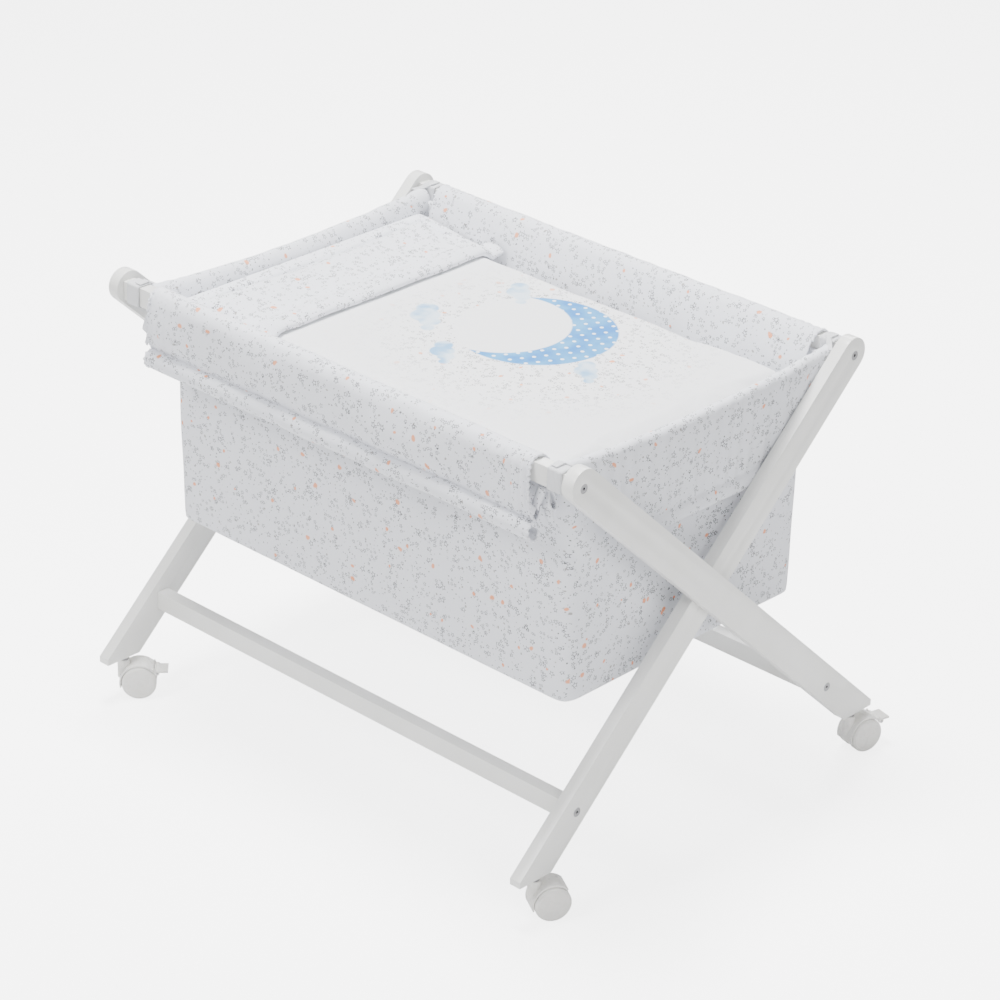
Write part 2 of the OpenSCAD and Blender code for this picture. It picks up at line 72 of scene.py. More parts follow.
# places taken from the frame
railFrontLow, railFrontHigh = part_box("rail_front")
railBackLow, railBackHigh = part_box("rail_back")
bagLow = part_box("bag_floor")[0]
bagHigh = Vector((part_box("bag_foot")[1].x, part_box("bag_back")[1].y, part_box("bag_front")[1].z))
flapFrontLow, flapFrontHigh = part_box("flap_front")
flapFootLow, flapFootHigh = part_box("flap_foot")
quiltLow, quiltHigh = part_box("quilt")
turnLow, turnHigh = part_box("quilt_turndown")
strapLow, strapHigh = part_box("straps_front")
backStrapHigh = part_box("straps_back")[1]
mattressLow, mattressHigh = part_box("mattress")
tieLow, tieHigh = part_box("ties_front")

railY = (railBackLow.y + railBackHigh.y) / 2
railZ = (railFrontLow.z + railFrontHigh.z) / 2
railHalfY = (railFrontHigh.y - railFrontLow.y) / 2
railHalfZ = (railFrontHigh.z - railFrontLow.z) / 2


# small helpers
def addObject(name, mesh):
    obj = bpy.data.objects.new(name, mesh)
    bpy.context.scene.collection.objects.link(obj)
    return obj


def fromBmesh(name, bm):
    mesh = bpy.data.meshes.new(name)
    bm.to_mesh(mesh)
    bm.free()
    for face in mesh.polygons:
        face.use_smooth = True
    return addObject(name, mesh)


def useMaterial(obj, material):
    obj.data.materials.clear()
    obj.data.materials.append(material)


def addSolidify(obj, thickness, offset=0.0):
    wall = obj.modifiers.new("wall", "SOLIDIFY")
    wall.thickness = thickness
    wall.offset = offset
    wall.use_even_offset = True


def addSubsurf(obj):
    soft = obj.modifiers.new("soft", "SUBSURF")
    soft.levels = soft.render_levels = 1


def smoothStep(low, high, value):
    t = min(1.0, max(0.0, (value - low) / (high - low)))
    return t * t * (3 - 2 * t)


def mix(a, b, t):
    return a + (b - a) * t


# smooth noise at a point
def drift(x, y, z):
    return noise.noise(Vector((x, y, z)))


# front or back, head or foot, by the sign of a place
def cornerName(side, end):
    return ("Front" if side < 0 else "Back") + ("Head" if end < 0 else "Foot")


# joins rings of vertices into a tube
def joinRings(bm, rings):
    for a, b in zip(rings, rings[1:]):
        for k in range(len(a)):
            following = (k + 1) % len(a)
            bm.faces.new((a[k], a[following], b[following], b[k]))


# a smooth curve through the points, by share of its length
def alongPath(points, share):
    lengths = [0.0]
    for a, b in zip(points, points[1:]):
        lengths.append(lengths[-1] + math.dist(a, b))
    want = share * lengths[-1]
    i = 0
    while i < len(points) - 2 and lengths[i + 1] < want:
        i += 1
    t = (want - lengths[i]) / (lengths[i + 1] - lengths[i])
    p1, p2 = points[i], points[i + 1]
    p0 = points[i - 1] if i else p1
    p3 = points[i + 2] if i + 2 < len(points) else p2
    out = []
    for a, b, c, d in zip(p0, p1, p2, p3):
        out.append(0.5 * (2 * b + (c - a) * t + (2 * a - 5 * b + 4 * c - d) * t * t
                          + (3 * b - a - 3 * c + d) * t ** 3))
    return out


def pathLength(points):
    return sum(math.dist(a, b) for a, b in zip(points, points[1:]))


# a sheet of cloth: a grid whose corner (u, v) is put at place(u, v), with a UV map in metres
def makeSheet(name, across, along, place, size, thickness):
    bm = bmesh.new()
    bm.loops.layers.uv.new("cloth")
    bmesh.ops.create_grid(bm, x_segments=across, y_segments=along, size=1.0, calc_uvs=True)
    uvLayer = bm.loops.layers.uv["cloth"]
    for face in bm.faces:
        for loop in face.loops:
            u = (loop.vert.co.x + 1) / 2
            v = (loop.vert.co.y + 1) / 2
            loop[uvLayer].uv = (u * size[0], v * size[1])
    for vert in bm.verts:
        vert.co = Vector(place((vert.co.x + 1) / 2, (vert.co.y + 1) / 2))
    obj = fromBmesh(name, bm)
    addSolidify(obj, thickness)
    return obj


# UV map in metres for a closed form: flat from above, or round the bed's four sides
def addWrapUv(obj, name="cloth"):
    mesh = obj.data
    layer = mesh.uv_layers.get(name) or mesh.uv_layers.new(name=name)
    halfX, halfY = bagHigh.x, bagHigh.y
    for face in mesh.polygons:
        normal = face.normal
        for loopIndex in face.loop_indices:
            co = mesh.vertices[mesh.loops[loopIndex].vertex_index].co
            if abs(normal.z) > 0.7:
                uv = (co.x, co.y)
            elif abs(normal.y) * (2 * halfX) > abs(normal.x) * (2 * halfY):
                uv = (co.x + (0 if normal.y < 0 else 1.7), co.z)
            else:
                uv = (co.y + (0.9 if normal.x > 0 else 2.9), co.z)
            layer.data[loopIndex].uv = uv


def addPlanUv(obj):
    mesh = obj.data
    layer = mesh.uv_layers.new(name="plan")
    for loop in mesh.loops:
        co = mesh.vertices[loop.vertex_index].co
        layer.data[loop.index].uv = (co.x, co.y)


# bakes a soft piece's placement into its mesh
def hangBetweenFrames(obj):
    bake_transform(obj)


# material and baked placement of a finished soft piece, and the nodes that it replaces, hidden
def finishSoft(obj, material, slot, *replaced):
    useMaterial(obj, material)
    hangBetweenFrames(obj)
    if replaced:
        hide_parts(*replaced)


# a node's own shape, merged, with its sharp edges rounded
def softCopy(node, width, segments, sharpFrom=30.0):
    bm = bmesh.new()
    bm.from_mesh(nodes[node].data)
    bmesh.ops.remove_doubles(bm, verts=bm.verts, dist=1e-6)
    bmesh.ops.dissolve_limit(bm, angle_limit=math.radians(1.5), verts=bm.verts, edges=bm.edges)
    sharp = [e for e in bm.edges if len(e.link_faces) == 2 and e.calc_face_angle(0) > math.radians(sharpFrom)]
    bmesh.ops.bevel(bm, geom=sharp, offset=width, offset_type="OFFSET", affect="EDGES", segments=segments,
                    profile=0.5, material=-1, clamp_overlap=True)
    return bm


# shader building
def newGroup(name, inputs, outputs):
    group = bpy.data.node_groups.new(name, "ShaderNodeTree")
    for label, kind, value in inputs:
        socket = group.interface.new_socket(label, in_out="INPUT", socket_type=kind)
        if value is not None:
            socket.default_value = value
    for label, kind in outputs:
        group.interface.new_socket(label, in_out="OUTPUT", socket_type=kind)
    entry = group.nodes.new("NodeGroupInput")
    leave = group.nodes.new("NodeGroupOutput")
    return group, entry, leave


class Wiring:
    # short ways to add nodes to a tree
    def __init__(self, tree):
        self.tree = tree

    def node(self, kind, **settings):
        made = self.tree.nodes.new(kind)
        for key, value in settings.items():
            setattr(made, key, value)
        return made

    def link(self, source, target):
        self.tree.links.new(source, target)

    def feed(self, target, value):
        if hasattr(value, "is_output"):
            self.link(value, target)
        else:
            target.default_value = value

    def math(self, operation, a, b=None, c=None, clamp=False):
        made = self.node("ShaderNodeMath", operation=operation, use_clamp=clamp)
        self.feed(made.inputs[0], a)
        if b is not None:
            self.feed(made.inputs[1], b)
        if c is not None:
            self.feed(made.inputs[2], c)
        return made.outputs[0]

    def vector(self, operation, a, b=None, scale=None):
        made = self.node("ShaderNodeVectorMath", operation=operation)
        self.feed(made.inputs[0], a)
        if b is not None:
            self.feed(made.inputs[1], b)
        if scale is not None:
            self.feed(made.inputs["Scale"], scale)
        return made.outputs["Vector"]

    def length(self, a):
        made = self.node("ShaderNodeVectorMath", operation="LENGTH")
        self.feed(made.inputs[0], a)
        return made.outputs["Value"]

    def mixColor(self, factor, a, b):
        made = self.node("ShaderNodeMix", data_type="RGBA")
        self.feed(made.inputs["Factor"], factor)
        self.feed(made.inputs["A"], a)
        self.feed(made.inputs["B"], b)
        return made.outputs["Result"]

    def ramp(self, value, low, high, outLow=0.0, outHigh=1.0):
        made = self.node("ShaderNodeMapRange", interpolation_type="SMOOTHSTEP")
        self.feed(made.inputs["Value"], value)
        self.feed(made.inputs["From Min"], low)
        self.feed(made.inputs["From Max"], high)
        self.feed(made.inputs["To Min"], outLow)
        self.feed(made.inputs["To Max"], outHigh)
        return made.outputs["Result"]

    def noise(self, vector, scale, detail=2.0, roughness=0.5):
        made = self.node("ShaderNodeTexNoise")
        self.feed(made.inputs["Vector"], vector)
        self.feed(made.inputs["Scale"], scale)
        made.inputs["Detail"].default_value = detail
        made.inputs["Roughness"].default_value = roughness
        return made


# one scatter of little five-pointed stars drawn in outline; puts out the ink's mask
def buildStarGroup():
    group, entry, leave = newGroup("starScatter", [
        ("Vector", "NodeSocketVector", None), ("Spacing", "NodeSocketFloat", 0.014),
        ("Size", "NodeSocketFloat", 0.33), ("Line", "NodeSocketFloat", 0.16),
        ("Share", "NodeSocketFloat", 0.5)], [("Mask", "NodeSocketFloat")])
    w = Wiring(group)
    cellScale = w.math("DIVIDE", 1.0, entry.outputs["Spacing"])
    coords = w.vector("SCALE", entry.outputs["Vector"], scale=cellScale)
    cells = w.node("ShaderNodeTexVoronoi", voronoi_dimensions="2D", feature="F1")
    w.link(coords, cells.inputs["Vector"])
    cells.inputs["Scale"].default_value = 1.0
    cells.inputs["Randomness"].default_value = 0.72
    local = w.vector("SUBTRACT", coords, cells.outputs["Position"])
    split = w.node("ShaderNodeSeparateXYZ")
    w.link(local, split.inputs["Vector"])
    random = w.node("ShaderNodeSeparateColor")
    w.link(cells.outputs["Color"], random.inputs["Color"])
    angle = w.math("ARCTAN2", split.outputs["Y"], split.outputs["X"])
    turned = w.math("MULTIPLY_ADD", random.outputs["Red"], math.tau, angle)
    fifth = math.tau / 5
    wrapped = w.math("WRAP", turned, fifth, 0.0)
    folded = w.math("ABSOLUTE", w.math("SUBTRACT", wrapped, fifth / 2))
    uneven = w.math("MULTIPLY_ADD", random.outputs["Green"], 0.5, 0.75)
    size = w.math("MULTIPLY", entry.outputs["Size"], uneven)
    reach = w.math("DIVIDE", cells.outputs["Distance"], size)
    valley = 0.46  # a star's inner radius over its outer one
    slope = (1 - valley * math.cos(fifth / 2)) / (valley * math.sin(fifth / 2))
    edge = w.math("ADD", w.math("COSINE", folded), w.math("MULTIPLY", w.math("SINE", folded), slope))
    outline = w.math("ABSOLUTE", w.math("SUBTRACT", w.math("MULTIPLY", reach, edge), 1.0))
    line = w.ramp(outline, w.math("MULTIPLY", entry.outputs["Line"], 0.6), entry.outputs["Line"], 1.0, 0.0)
    shown = w.math("LESS_THAN", random.outputs["Blue"], entry.outputs["Share"])
    w.link(w.math("MULTIPLY", line, shown), leave.inputs["Mask"])
    return group


# round spots of uneven size; puts out their mask
def buildSpotGroup():
    group, entry, leave = newGroup("spotScatter", [
        ("Vector", "NodeSocketVector", None), ("Spacing", "NodeSocketFloat", 0.02),
        ("Size", "NodeSocketFloat", 0.12), ("Share", "NodeSocketFloat", 0.3)],
        [("Mask", "NodeSocketFloat")])
    w = Wiring(group)
    cellScale = w.math("DIVIDE", 1.0, entry.outputs["Spacing"])
    coords = w.vector("SCALE", entry.outputs["Vector"], scale=cellScale)
    wobble = w.noise(coords, 2.5, 1.0).outputs["Color"]
    shifted = w.vector("ADD", coords, w.vector("SCALE", wobble, scale=0.22))
    cells = w.node("ShaderNodeTexVoronoi", voronoi_dimensions="2D", feature="F1")
    w.link(shifted, cells.inputs["Vector"])
    cells.inputs["Scale"].default_value = 1.0
    random = w.node("ShaderNodeSeparateColor")
    w.link(cells.outputs["Color"], random.inputs["Color"])
    uneven = w.math("MULTIPLY_ADD", random.outputs["Green"], 0.6, 0.6)
    size = w.math("MULTIPLY", entry.outputs["Size"], uneven)
    spot = w.ramp(w.math("DIVIDE", cells.outputs["Distance"], size), 0.75, 1.1, 1.0, 0.0)
    shown = w.math("LESS_THAN", random.outputs["Blue"], entry.outputs["Share"])
    w.link(w.math("MULTIPLY", spot, shown), leave.inputs["Mask"])
    return group


# the printed cotton: clusters of stars, little dots and pale orange spots; spacings in metres, sizes in spacings
printLook = {"clusterScale": 44.0, "ink": (0.03, 0.03, 0.035, 1), "beige": (0.22, 0.20, 0.17, 1),
             "orange": (0.86, 0.30, 0.12, 1),
             "smallStars": {"Spacing": 0.0070, "Size": 0.36, "Line": 0.30, "Share": 0.62},
             "largeStars": {"Spacing": 0.016, "Size": 0.22, "Line": 0.24, "Share": 0.34},
             "dots": {"Spacing": 0.0070, "Size": 0.13, "Share": 0.34},
             "beigeSpots": {"Spacing": 0.026, "Size": 0.062, "Share": 0.5},
             "orangeSpots": {"Spacing": 0.040, "Size": 0.085, "Share": 0.50}}


def buildPrintGroup(stars, spots):
    group, entry, leave = newGroup("cottonPrint", [
        ("Vector", "NodeSocketVector", None), ("Ground", "NodeSocketColor", (0.85, 0.86, 0.9, 1)),
        ("Amount", "NodeSocketFloat", 1.0)], [("Color", "NodeSocketColor"), ("Ink", "NodeSocketFloat")])
    w = Wiring(group)
    vector = entry.outputs["Vector"]
    cluster = w.ramp(w.noise(vector, printLook["clusterScale"], 1.0).outputs["Fac"], 0.50, 0.55)

    def scatter(tree, shift, kind):
        made = w.node("ShaderNodeGroup", node_tree=tree)
        w.link(w.vector("ADD", vector, (shift, shift * 1.7, 0)), made.inputs["Vector"])
        for key, value in printLook[kind].items():
            made.inputs[key].default_value = value
        return made.outputs["Mask"]

    small = w.math("MULTIPLY", scatter(stars, 0.0, "smallStars"), cluster)
    inkStars = w.math("MAXIMUM", small, scatter(stars, 3.1, "largeStars"))
    drawn = w.math("MAXIMUM", inkStars, scatter(spots, 5.3, "dots"))
    ink = w.math("MULTIPLY", drawn, entry.outputs["Amount"], clamp=True)
    beige = w.math("MULTIPLY", scatter(spots, 7.9, "beigeSpots"), entry.outputs["Amount"])
    orange = w.math("MULTIPLY", scatter(spots, 9.7, "orangeSpots"), entry.outputs["Amount"])
    color = w.mixColor(ink, entry.outputs["Ground"], printLook["ink"])
    color = w.mixColor(w.math("MULTIPLY", beige, 0.75), color, printLook["beige"])
    color = w.mixColor(w.math("MULTIPLY", orange, 0.9), color, printLook["orange"])
    w.link(color, leave.inputs["Color"])
    w.link(ink, leave.inputs["Ink"])
    return group


# plain weave with slubs: puts out a height for a bump
def buildWeaveGroup():
    group, entry, leave = newGroup("plainWeave", [
        ("Vector", "NodeSocketVector", None), ("Threads", "NodeSocketFloat", 2200.0),
        ("Crinkle", "NodeSocketFloat", 0.5)], [("Height", "NodeSocketFloat"), ("Tone", "NodeSocketFloat")])
    w = Wiring(group)
    split = w.node("ShaderNodeSeparateXYZ")
    w.link(entry.outputs["Vector"], split.inputs["Vector"])
    warp = w.math("SINE", w.math("MULTIPLY", split.outputs["X"], entry.outputs["Threads"]))
    weft = w.math("SINE", w.math("MULTIPLY", split.outputs["Y"], entry.outputs["Threads"]))
    threads = w.math("MULTIPLY", warp, weft)
    crease = w.noise(entry.outputs["Vector"], 38.0, 3.0, 0.55).outputs["Fac"]
    soft = w.noise(entry.outputs["Vector"], 9.0, 2.0, 0.5).outputs["Fac"]
    folds = w.math("MULTIPLY", w.math("MULTIPLY_ADD", crease, 0.5, soft), entry.outputs["Crinkle"])
    w.link(w.math("MULTIPLY_ADD", threads, 0.012, folds), leave.inputs["Height"])
    w.link(soft, leave.inputs["Tone"])
    return group


def startMaterial(name):
    material = bpy.data.materials.new(name)
    material.use_nodes = True
    tree = material.node_tree
    shader = tree.nodes["Principled BSDF"]
    return material, Wiring(tree), shader


def uvVector(w, layer="cloth"):
    return w.node("ShaderNodeUVMap", uv_map=layer).outputs["UV"]


def objectCoords(w, stretch=(1.0, 1.0, 1.0)):
    mapping = w.node("ShaderNodeMapping")
    mapping.inputs["Scale"].default_value = stretch
    w.link(w.node("ShaderNodeTexCoord").outputs["Object"], mapping.inputs["Vector"])
    return mapping.outputs["Vector"]


def addBump(w, shader, height, strength, distance):
    bump = w.node("ShaderNodeBump")
    bump.inputs["Strength"].default_value = strength
    bump.inputs["Distance"].default_value = distance
    w.link(height, bump.inputs["Height"])
    w.link(bump.outputs["Normal"], shader.inputs["Normal"])


clothFinish = {"ground": (0.80, 0.815, 0.865, 1), "quiltGround": (0.86, 0.865, 0.88, 1),
               "sheen": 0.18, "crinkle": 0.5}
printGroup = buildPrintGroup(buildStarGroup(), buildSpotGroup())
weaveGroup = buildWeaveGroup()


def finishCloth(w, shader, vector, crinkle, threads=2200.0):
    weave = w.node("ShaderNodeGroup", node_tree=weaveGroup)
    w.link(vector, weave.inputs["Vector"])
    weave.inputs["Crinkle"].default_value = crinkle
    weave.inputs["Threads"].default_value = threads
    addBump(w, shader, weave.outputs["Height"], 0.5, 0.004)
    w.link(w.ramp(weave.outputs["Tone"], 0.2, 0.8, 0.82, 0.94), shader.inputs["Roughness"])
    shader.inputs["Sheen Weight"].default_value = clothFinish["sheen"]
    shader.inputs["Sheen Roughness"].default_value = 0.5
    shader.inputs["Specular IOR Level"].default_value = 0.25
    return weave


def makePrintCloth():
    material, w, shader = startMaterial("printCotton")
    vector = uvVector(w)
    printed = w.node("ShaderNodeGroup", node_tree=printGroup)
    w.link(vector, printed.inputs["Vector"])
    printed.inputs["Ground"].default_value = clothFinish["ground"]
    weave = finishCloth(w, shader, vector, clothFinish["crinkle"])
    tone = w.ramp(weave.outputs["Tone"], 0.2, 0.8, 0.0, 0.06)
    color = w.mixColor(tone, printed.outputs["Color"], (0.62, 0.64, 0.72, 1))
    w.link(color, shader.inputs["Base Color"])
    return material


# the quilt's own print: a sickle moon with white dots, clouds, and a loose scatter of stars
moonPrint = {"center": (0.031, 0.065), "radius": 0.112, "biteCenter": (-0.020, 0.048), "biteRadius": 0.098,
             "blue": (0.025, 0.20, 0.56, 1), "cloudBlue": (0.09, 0.36, 0.68, 1), "dotSpacing": 0.017,
             "clouds": [(-0.109, -0.007, 0.021), (-0.010, -0.075, 0.017), (-0.076, 0.143, 0.017),
                        (0.165, 0.018, 0.016)]}


def makeQuiltCloth():
    material, w, shader = startMaterial("quiltCotton")
    vector = uvVector(w, "plan")

    def disc(center, radius, soft=0.0015):
        far = w.length(w.vector("SUBTRACT", vector, (center[0], center[1], 0)))
        return w.ramp(far, radius - soft, radius + soft, 1.0, 0.0)

    moon = disc(moonPrint["center"], moonPrint["radius"])
    bite = disc(moonPrint["biteCenter"], moonPrint["biteRadius"])
    sickle = w.math("MULTIPLY", moon, w.math("SUBTRACT", 1.0, bite))
    turned = w.node("ShaderNodeMapping")
    turned.inputs["Rotation"].default_value = (0, 0, 0.5)
    w.link(vector, turned.inputs["Vector"])
    cell = w.vector("SCALE", turned.outputs["Vector"], scale=1 / moonPrint["dotSpacing"])
    local = w.vector("SUBTRACT", w.vector("FRACTION", cell), (0.5, 0.5, 0))
    flat = w.vector("MULTIPLY", local, (1, 1, 0))
    dots = w.ramp(w.length(flat), 0.14, 0.19, 1.0, 0.0)
    clouds = None
    for x, y, r in moonPrint["clouds"]:
        for dx, dy, share in ((0, 0, 1.0), (0.9, -0.5, 0.7), (-0.7, 0.9, 0.75), (1.5, -1.3, 0.45)):
            puff = disc((x + dx * r, y + dy * r), r * share)
            clouds = puff if clouds is None else w.math("MAXIMUM", clouds, puff)
    near = w.length(w.vector("SUBTRACT", vector, (0.06, 0.05, 0)))
    around = w.ramp(near, 0.13, 0.27, 1.0, 0.06)
    printed = w.node("ShaderNodeGroup", node_tree=printGroup)
    w.link(vector, printed.inputs["Vector"])
    printed.inputs["Ground"].default_value = clothFinish["quiltGround"]
    bare = w.math("MULTIPLY", w.math("SUBTRACT", 1.0, w.math("MAXIMUM", moon, clouds)), around)
    w.link(bare, printed.inputs["Amount"])
    wash = w.noise(vector, 26.0, 2.0).outputs["Fac"]
    blue = w.mixColor(w.ramp(wash, 0.3, 0.7), moonPrint["blue"], moonPrint["cloudBlue"])
    color = w.mixColor(w.math("MULTIPLY", clouds, 0.85), printed.outputs["Color"],
                       w.mixColor(w.ramp(wash, 0.35, 0.6), moonPrint["cloudBlue"], (0.62, 0.76, 0.88, 1)))
    color = w.mixColor(sickle, color, blue)
    color = w.mixColor(w.math("MULTIPLY", sickle, dots), color, (0.86, 0.9, 0.93, 1))
    finishCloth(w, shader, vector, 0.35)
    w.link(color, shader.inputs["Base Color"])
    return material


def makePlainCloth(name, color, threads, crinkle):
    material, w, shader = startMaterial(name)
    weave = finishCloth(w, shader, uvVector(w), crinkle, threads)
    dark = tuple(c * 0.9 for c in color[:3]) + (1,)
    w.link(w.mixColor(w.ramp(weave.outputs["Tone"], 0.3, 0.7), color, dark), shader.inputs["Base Color"])
    return material


# ribs across the tape, from its own UV map
def makeWebbing():
    material, w, shader = startMaterial("ribbedWebbing")
    vector = uvVector(w)
    split = w.node("ShaderNodeSeparateXYZ")
    w.link(vector, split.inputs["Vector"])
    ribs = w.math("SINE", w.math("MULTIPLY", split.outputs["X"], math.tau / 0.0022))
    yarns = w.math("SINE", w.math("MULTIPLY", split.outputs["Y"], math.tau / 0.0009))
    height = w.math("MULTIPLY_ADD", ribs, 0.8, w.math("MULTIPLY", yarns, 0.2))
    addBump(w, shader, height, 0.6, 0.0006)
    # the rib valleys are painted darker than the ridges: painted shade in the grooves of a white tape
    w.link(w.mixColor(w.ramp(ribs, -1.0, 0.2), (0.66, 0.67, 0.70, 1), (0.82, 0.83, 0.85, 1)),
           shader.inputs["Base Color"])
    w.link(w.ramp(ribs, -1.0, 1.0, 0.85, 0.7), shader.inputs["Roughness"])
    shader.inputs["Sheen Weight"].default_value = 0.15
    return material


# brushed-on lacquer over close-grained wood, faintly mottled
def makeLacquer():
    material, w, shader = startMaterial("whiteLacquer")
    grain = w.noise(objectCoords(w, (0.35, 1.0, 1.0)), 130.0, 4.0, 0.6).outputs["Fac"]
    mottle = w.noise(objectCoords(w), 14.0, 2.0).outputs["Fac"]
    color = w.mixColor(w.ramp(mottle, 0.3, 0.7), (0.80, 0.80, 0.775, 1), (0.84, 0.84, 0.82, 1))
    w.link(color, shader.inputs["Base Color"])
    w.link(w.ramp(grain, 0.3, 0.7, 0.30, 0.42), shader.inputs["Roughness"])
    shader.inputs["Coat Weight"].default_value = 0.25
    shader.inputs["Coat Roughness"].default_value = 0.18
    addBump(w, shader, grain, 0.12, 0.0008)
    return material


def makePlastic():
    material, w, shader = startMaterial("whitePlastic")
    coords = objectCoords(w)
    fine = w.noise(coords, 900.0, 2.0).outputs["Fac"]
    scuff = w.noise(coords, 60.0, 3.0, 0.6).outputs["Fac"]
    w.link(w.mixColor(w.ramp(scuff, 0.45, 0.8), (0.82, 0.81, 0.78, 1), (0.76, 0.75, 0.71, 1)),
           shader.inputs["Base Color"])
    w.link(w.ramp(scuff, 0.3, 0.8, 0.24, 0.4), shader.inputs["Roughness"])
    shader.inputs["Subsurface Weight"].default_value = 0.12
    shader.inputs["Subsurface Radius"].default_value = (0.004, 0.004, 0.003)
    addBump(w, shader, fine, 0.05, 0.0004)
    return material


def makeMetal(name, color, roughness):
    material, w, shader = startMaterial(name)
    streak = w.noise(objectCoords(w, (40.0, 900.0, 900.0)), 1.0, 2.0).outputs["Fac"]
    w.link(w.ramp(streak, 0.3, 0.7, roughness, roughness + 0.18), shader.inputs["Roughness"])
    dark = tuple(c * 0.8 for c in color[:3]) + (1,)
    w.link(w.mixColor(w.ramp(streak, 0.3, 0.7), color, dark), shader.inputs["Base Color"])
    shader.inputs["Metallic"].default_value = 1.0
    addBump(w, shader, streak, 0.08, 0.0003)
    return material


def makeBoardWood():
    material, w, shader = startMaterial("baseBoardWood")
    rings = w.noise(objectCoords(w, (0.12, 1.0, 1.0)), 60.0, 5.0, 0.6).outputs["Fac"]
    w.link(w.mixColor(w.ramp(rings, 0.3, 0.7), (0.62, 0.46, 0.28, 1), (0.42, 0.28, 0.15, 1)),
           shader.inputs["Base Color"])
    w.link(w.ramp(rings, 0.3, 0.7, 0.45, 0.6), shader.inputs["Roughness"])
    addBump(w, shader, rings, 0.15, 0.0006)
    return material


printCotton = makePrintCloth()
quiltCotton = makeQuiltCloth()
plainCotton = makePlainCloth("mattressCover", (0.84, 0.85, 0.87, 1), 1600.0, 0.3)
webbing = makeWebbing()
lacquer = makeLacquer()
plastic = makePlastic()
steel = makeMetal("zincSteel", (0.34, 0.34, 0.35, 1), 0.30)
brass = makeMetal("insertBrass", (0.75, 0.56, 0.28, 1), 0.3)
boardWood = makeBoardWood()
print("materials made")


# wood and plastic: the frame's own shapes with softened edges
edgeSizes = {"wood": 0.0028, "rail": 0.0022, "plastic": 0.0007, "sharp": 30.0, "segments": 3}


def softenEdges(node, material, width):
    obj = fromBmesh(node + "Soft", softCopy(node, width, edgeSizes["segments"], edgeSizes["sharp"]))
    obj.data.set_sharp_from_angle(angle=math.radians(40))
    useMaterial(obj, material)
    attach(obj, nodes[node]["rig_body"])
    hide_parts(node)


for name in ("outer_leg_head", "outer_leg_foot", "inner_leg_head", "inner_leg_foot"):
    softenEdges(name, lacquer, edgeSizes["wood"])
for name in ("rail_front", "rail_back", "stretcher_front", "stretcher_back"):
    softenEdges(name, lacquer, edgeSizes["rail"])
for name, obj in nodes.items():
    if name == "pivot_inserts":
        useMaterial(obj, brass)
    elif name.startswith(("stem_", "axle_", "lever_pin")) or name.endswith(("bolts", "nuts", "washers")):
        useMaterial(obj, steel)
    elif name.startswith(("hood_", "wheel_", "lever_")) or name.endswith("_sockets"):
        softenEdges(name, plastic, edgeSizes["plastic"])
print("frame and casters finished")


# the hung bag
bag = {"cornerRadius": 0.024, "lowRadius": 0.013, "flareLow": 0.500, "flareHigh": 0.600,
       "wall": 0.006, "sag": 0.005, "belly": 0.004, "cuts": (79, 53, 37),
       "lowHalf": (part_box("bag_floor")[1].x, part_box("bag_floor")[1].y)}


# half sizes of the bed's form at a height
def bedHalf(z):
    rise = (z - bagLow.z) / (bag["flareLow"] - bagLow.z)
    lowX, lowY = bag["lowHalf"]
    bellied = bag["belly"] * max(0.0, min(1.0, rise))
    flare = smoothStep(bag["flareLow"] - 0.03, bag["flareHigh"] + 0.01, z)
    halfX = mix(lowX + bellied, bagHigh.x, flare)
    halfY = mix(lowY + bellied, bagHigh.y, flare)
    return halfX, halfY


# clamps a point of a box to rounded corners and a rounded low edge
def roundedPoint(x, y, z, halfX, halfY, radius, low, lowRadius):
    qx = max(-halfX + radius, min(halfX - radius, x))
    qy = max(-halfY + radius, min(halfY - radius, y))
    dx, dy = x - qx, y - qy
    out = math.hypot(dx, dy)
    onWall = out > 1e-9 and abs(x) > halfX - 1e-6 or abs(y) > halfY - 1e-6
    if onWall or out > radius:
        dx, dy = dx / out * radius, dy / out * radius
    x, y = qx + dx, qy + dy
    drop = low + lowRadius - z
    if drop > 0:
        edge = min(1.0, drop / lowRadius)
        pull = lowRadius * (1 - math.sqrt(max(0.0, 1 - edge * edge)))
        reach = max(abs(x) / halfX, abs(y) / halfY)
        if reach > 1 - 2 * lowRadius / halfY:
            x -= pull * max(-1.0, min(1.0, x / halfX)) * (abs(x) / halfX) ** 8
            y -= pull * max(-1.0, min(1.0, y / halfY)) * (abs(y) / halfY) ** 8
    return x, y, z


def makeBag():
    bm = bmesh.new()
    bmesh.ops.create_cube(bm, size=2.0)
    top = [f for f in bm.faces if f.normal.z > 0.9]
    bmesh.ops.delete(bm, geom=top, context="FACES")
    for axis, cuts in enumerate(bag["cuts"]):
        edges = [e for e in bm.edges
                 if abs((e.verts[0].co - e.verts[1].co).normalized()[axis]) > 0.9]
        bmesh.ops.subdivide_edges(bm, edges=edges, cuts=cuts, use_grid_fill=True)
    height = bagHigh.z - 0.008 - bagLow.z
    for vert in bm.verts:
        a, b, c = vert.co
        z = bagLow.z + (c + 1) / 2 * height
        halfX, halfY = bedHalf(z)
        x, y, z = roundedPoint(a * halfX, b * halfY, z, halfX, halfY, bag["cornerRadius"], bagLow.z,
                               bag["lowRadius"])
        wall = max(abs(a), abs(b)) > 0.999
        rise = (z - bagLow.z) / height
        belly = math.sin(math.pi * min(1, max(0, rise)))
        ripple = drift(x * 7, y * 7, z * 4) * 0.5 + drift(x * 22, y * 22, z * 9) * 0.22
        if wall:
            push = (ripple - 0.25) * bag["sag"] * (0.35 + belly)
            x += push * (x / halfX) ** 5
            y += push * (y / halfY) ** 5
        vert.co = (x, y, z)
    obj = fromBmesh("hungBag", bm)
    addWrapUv(obj)
    addSolidify(obj, bag["wall"], -1.0)
    finishSoft(obj, printCotton, "print_cloth", "bag_floor", "bag_front", "bag_back", "bag_head", "bag_foot")


makeBag()
print("bag hung")


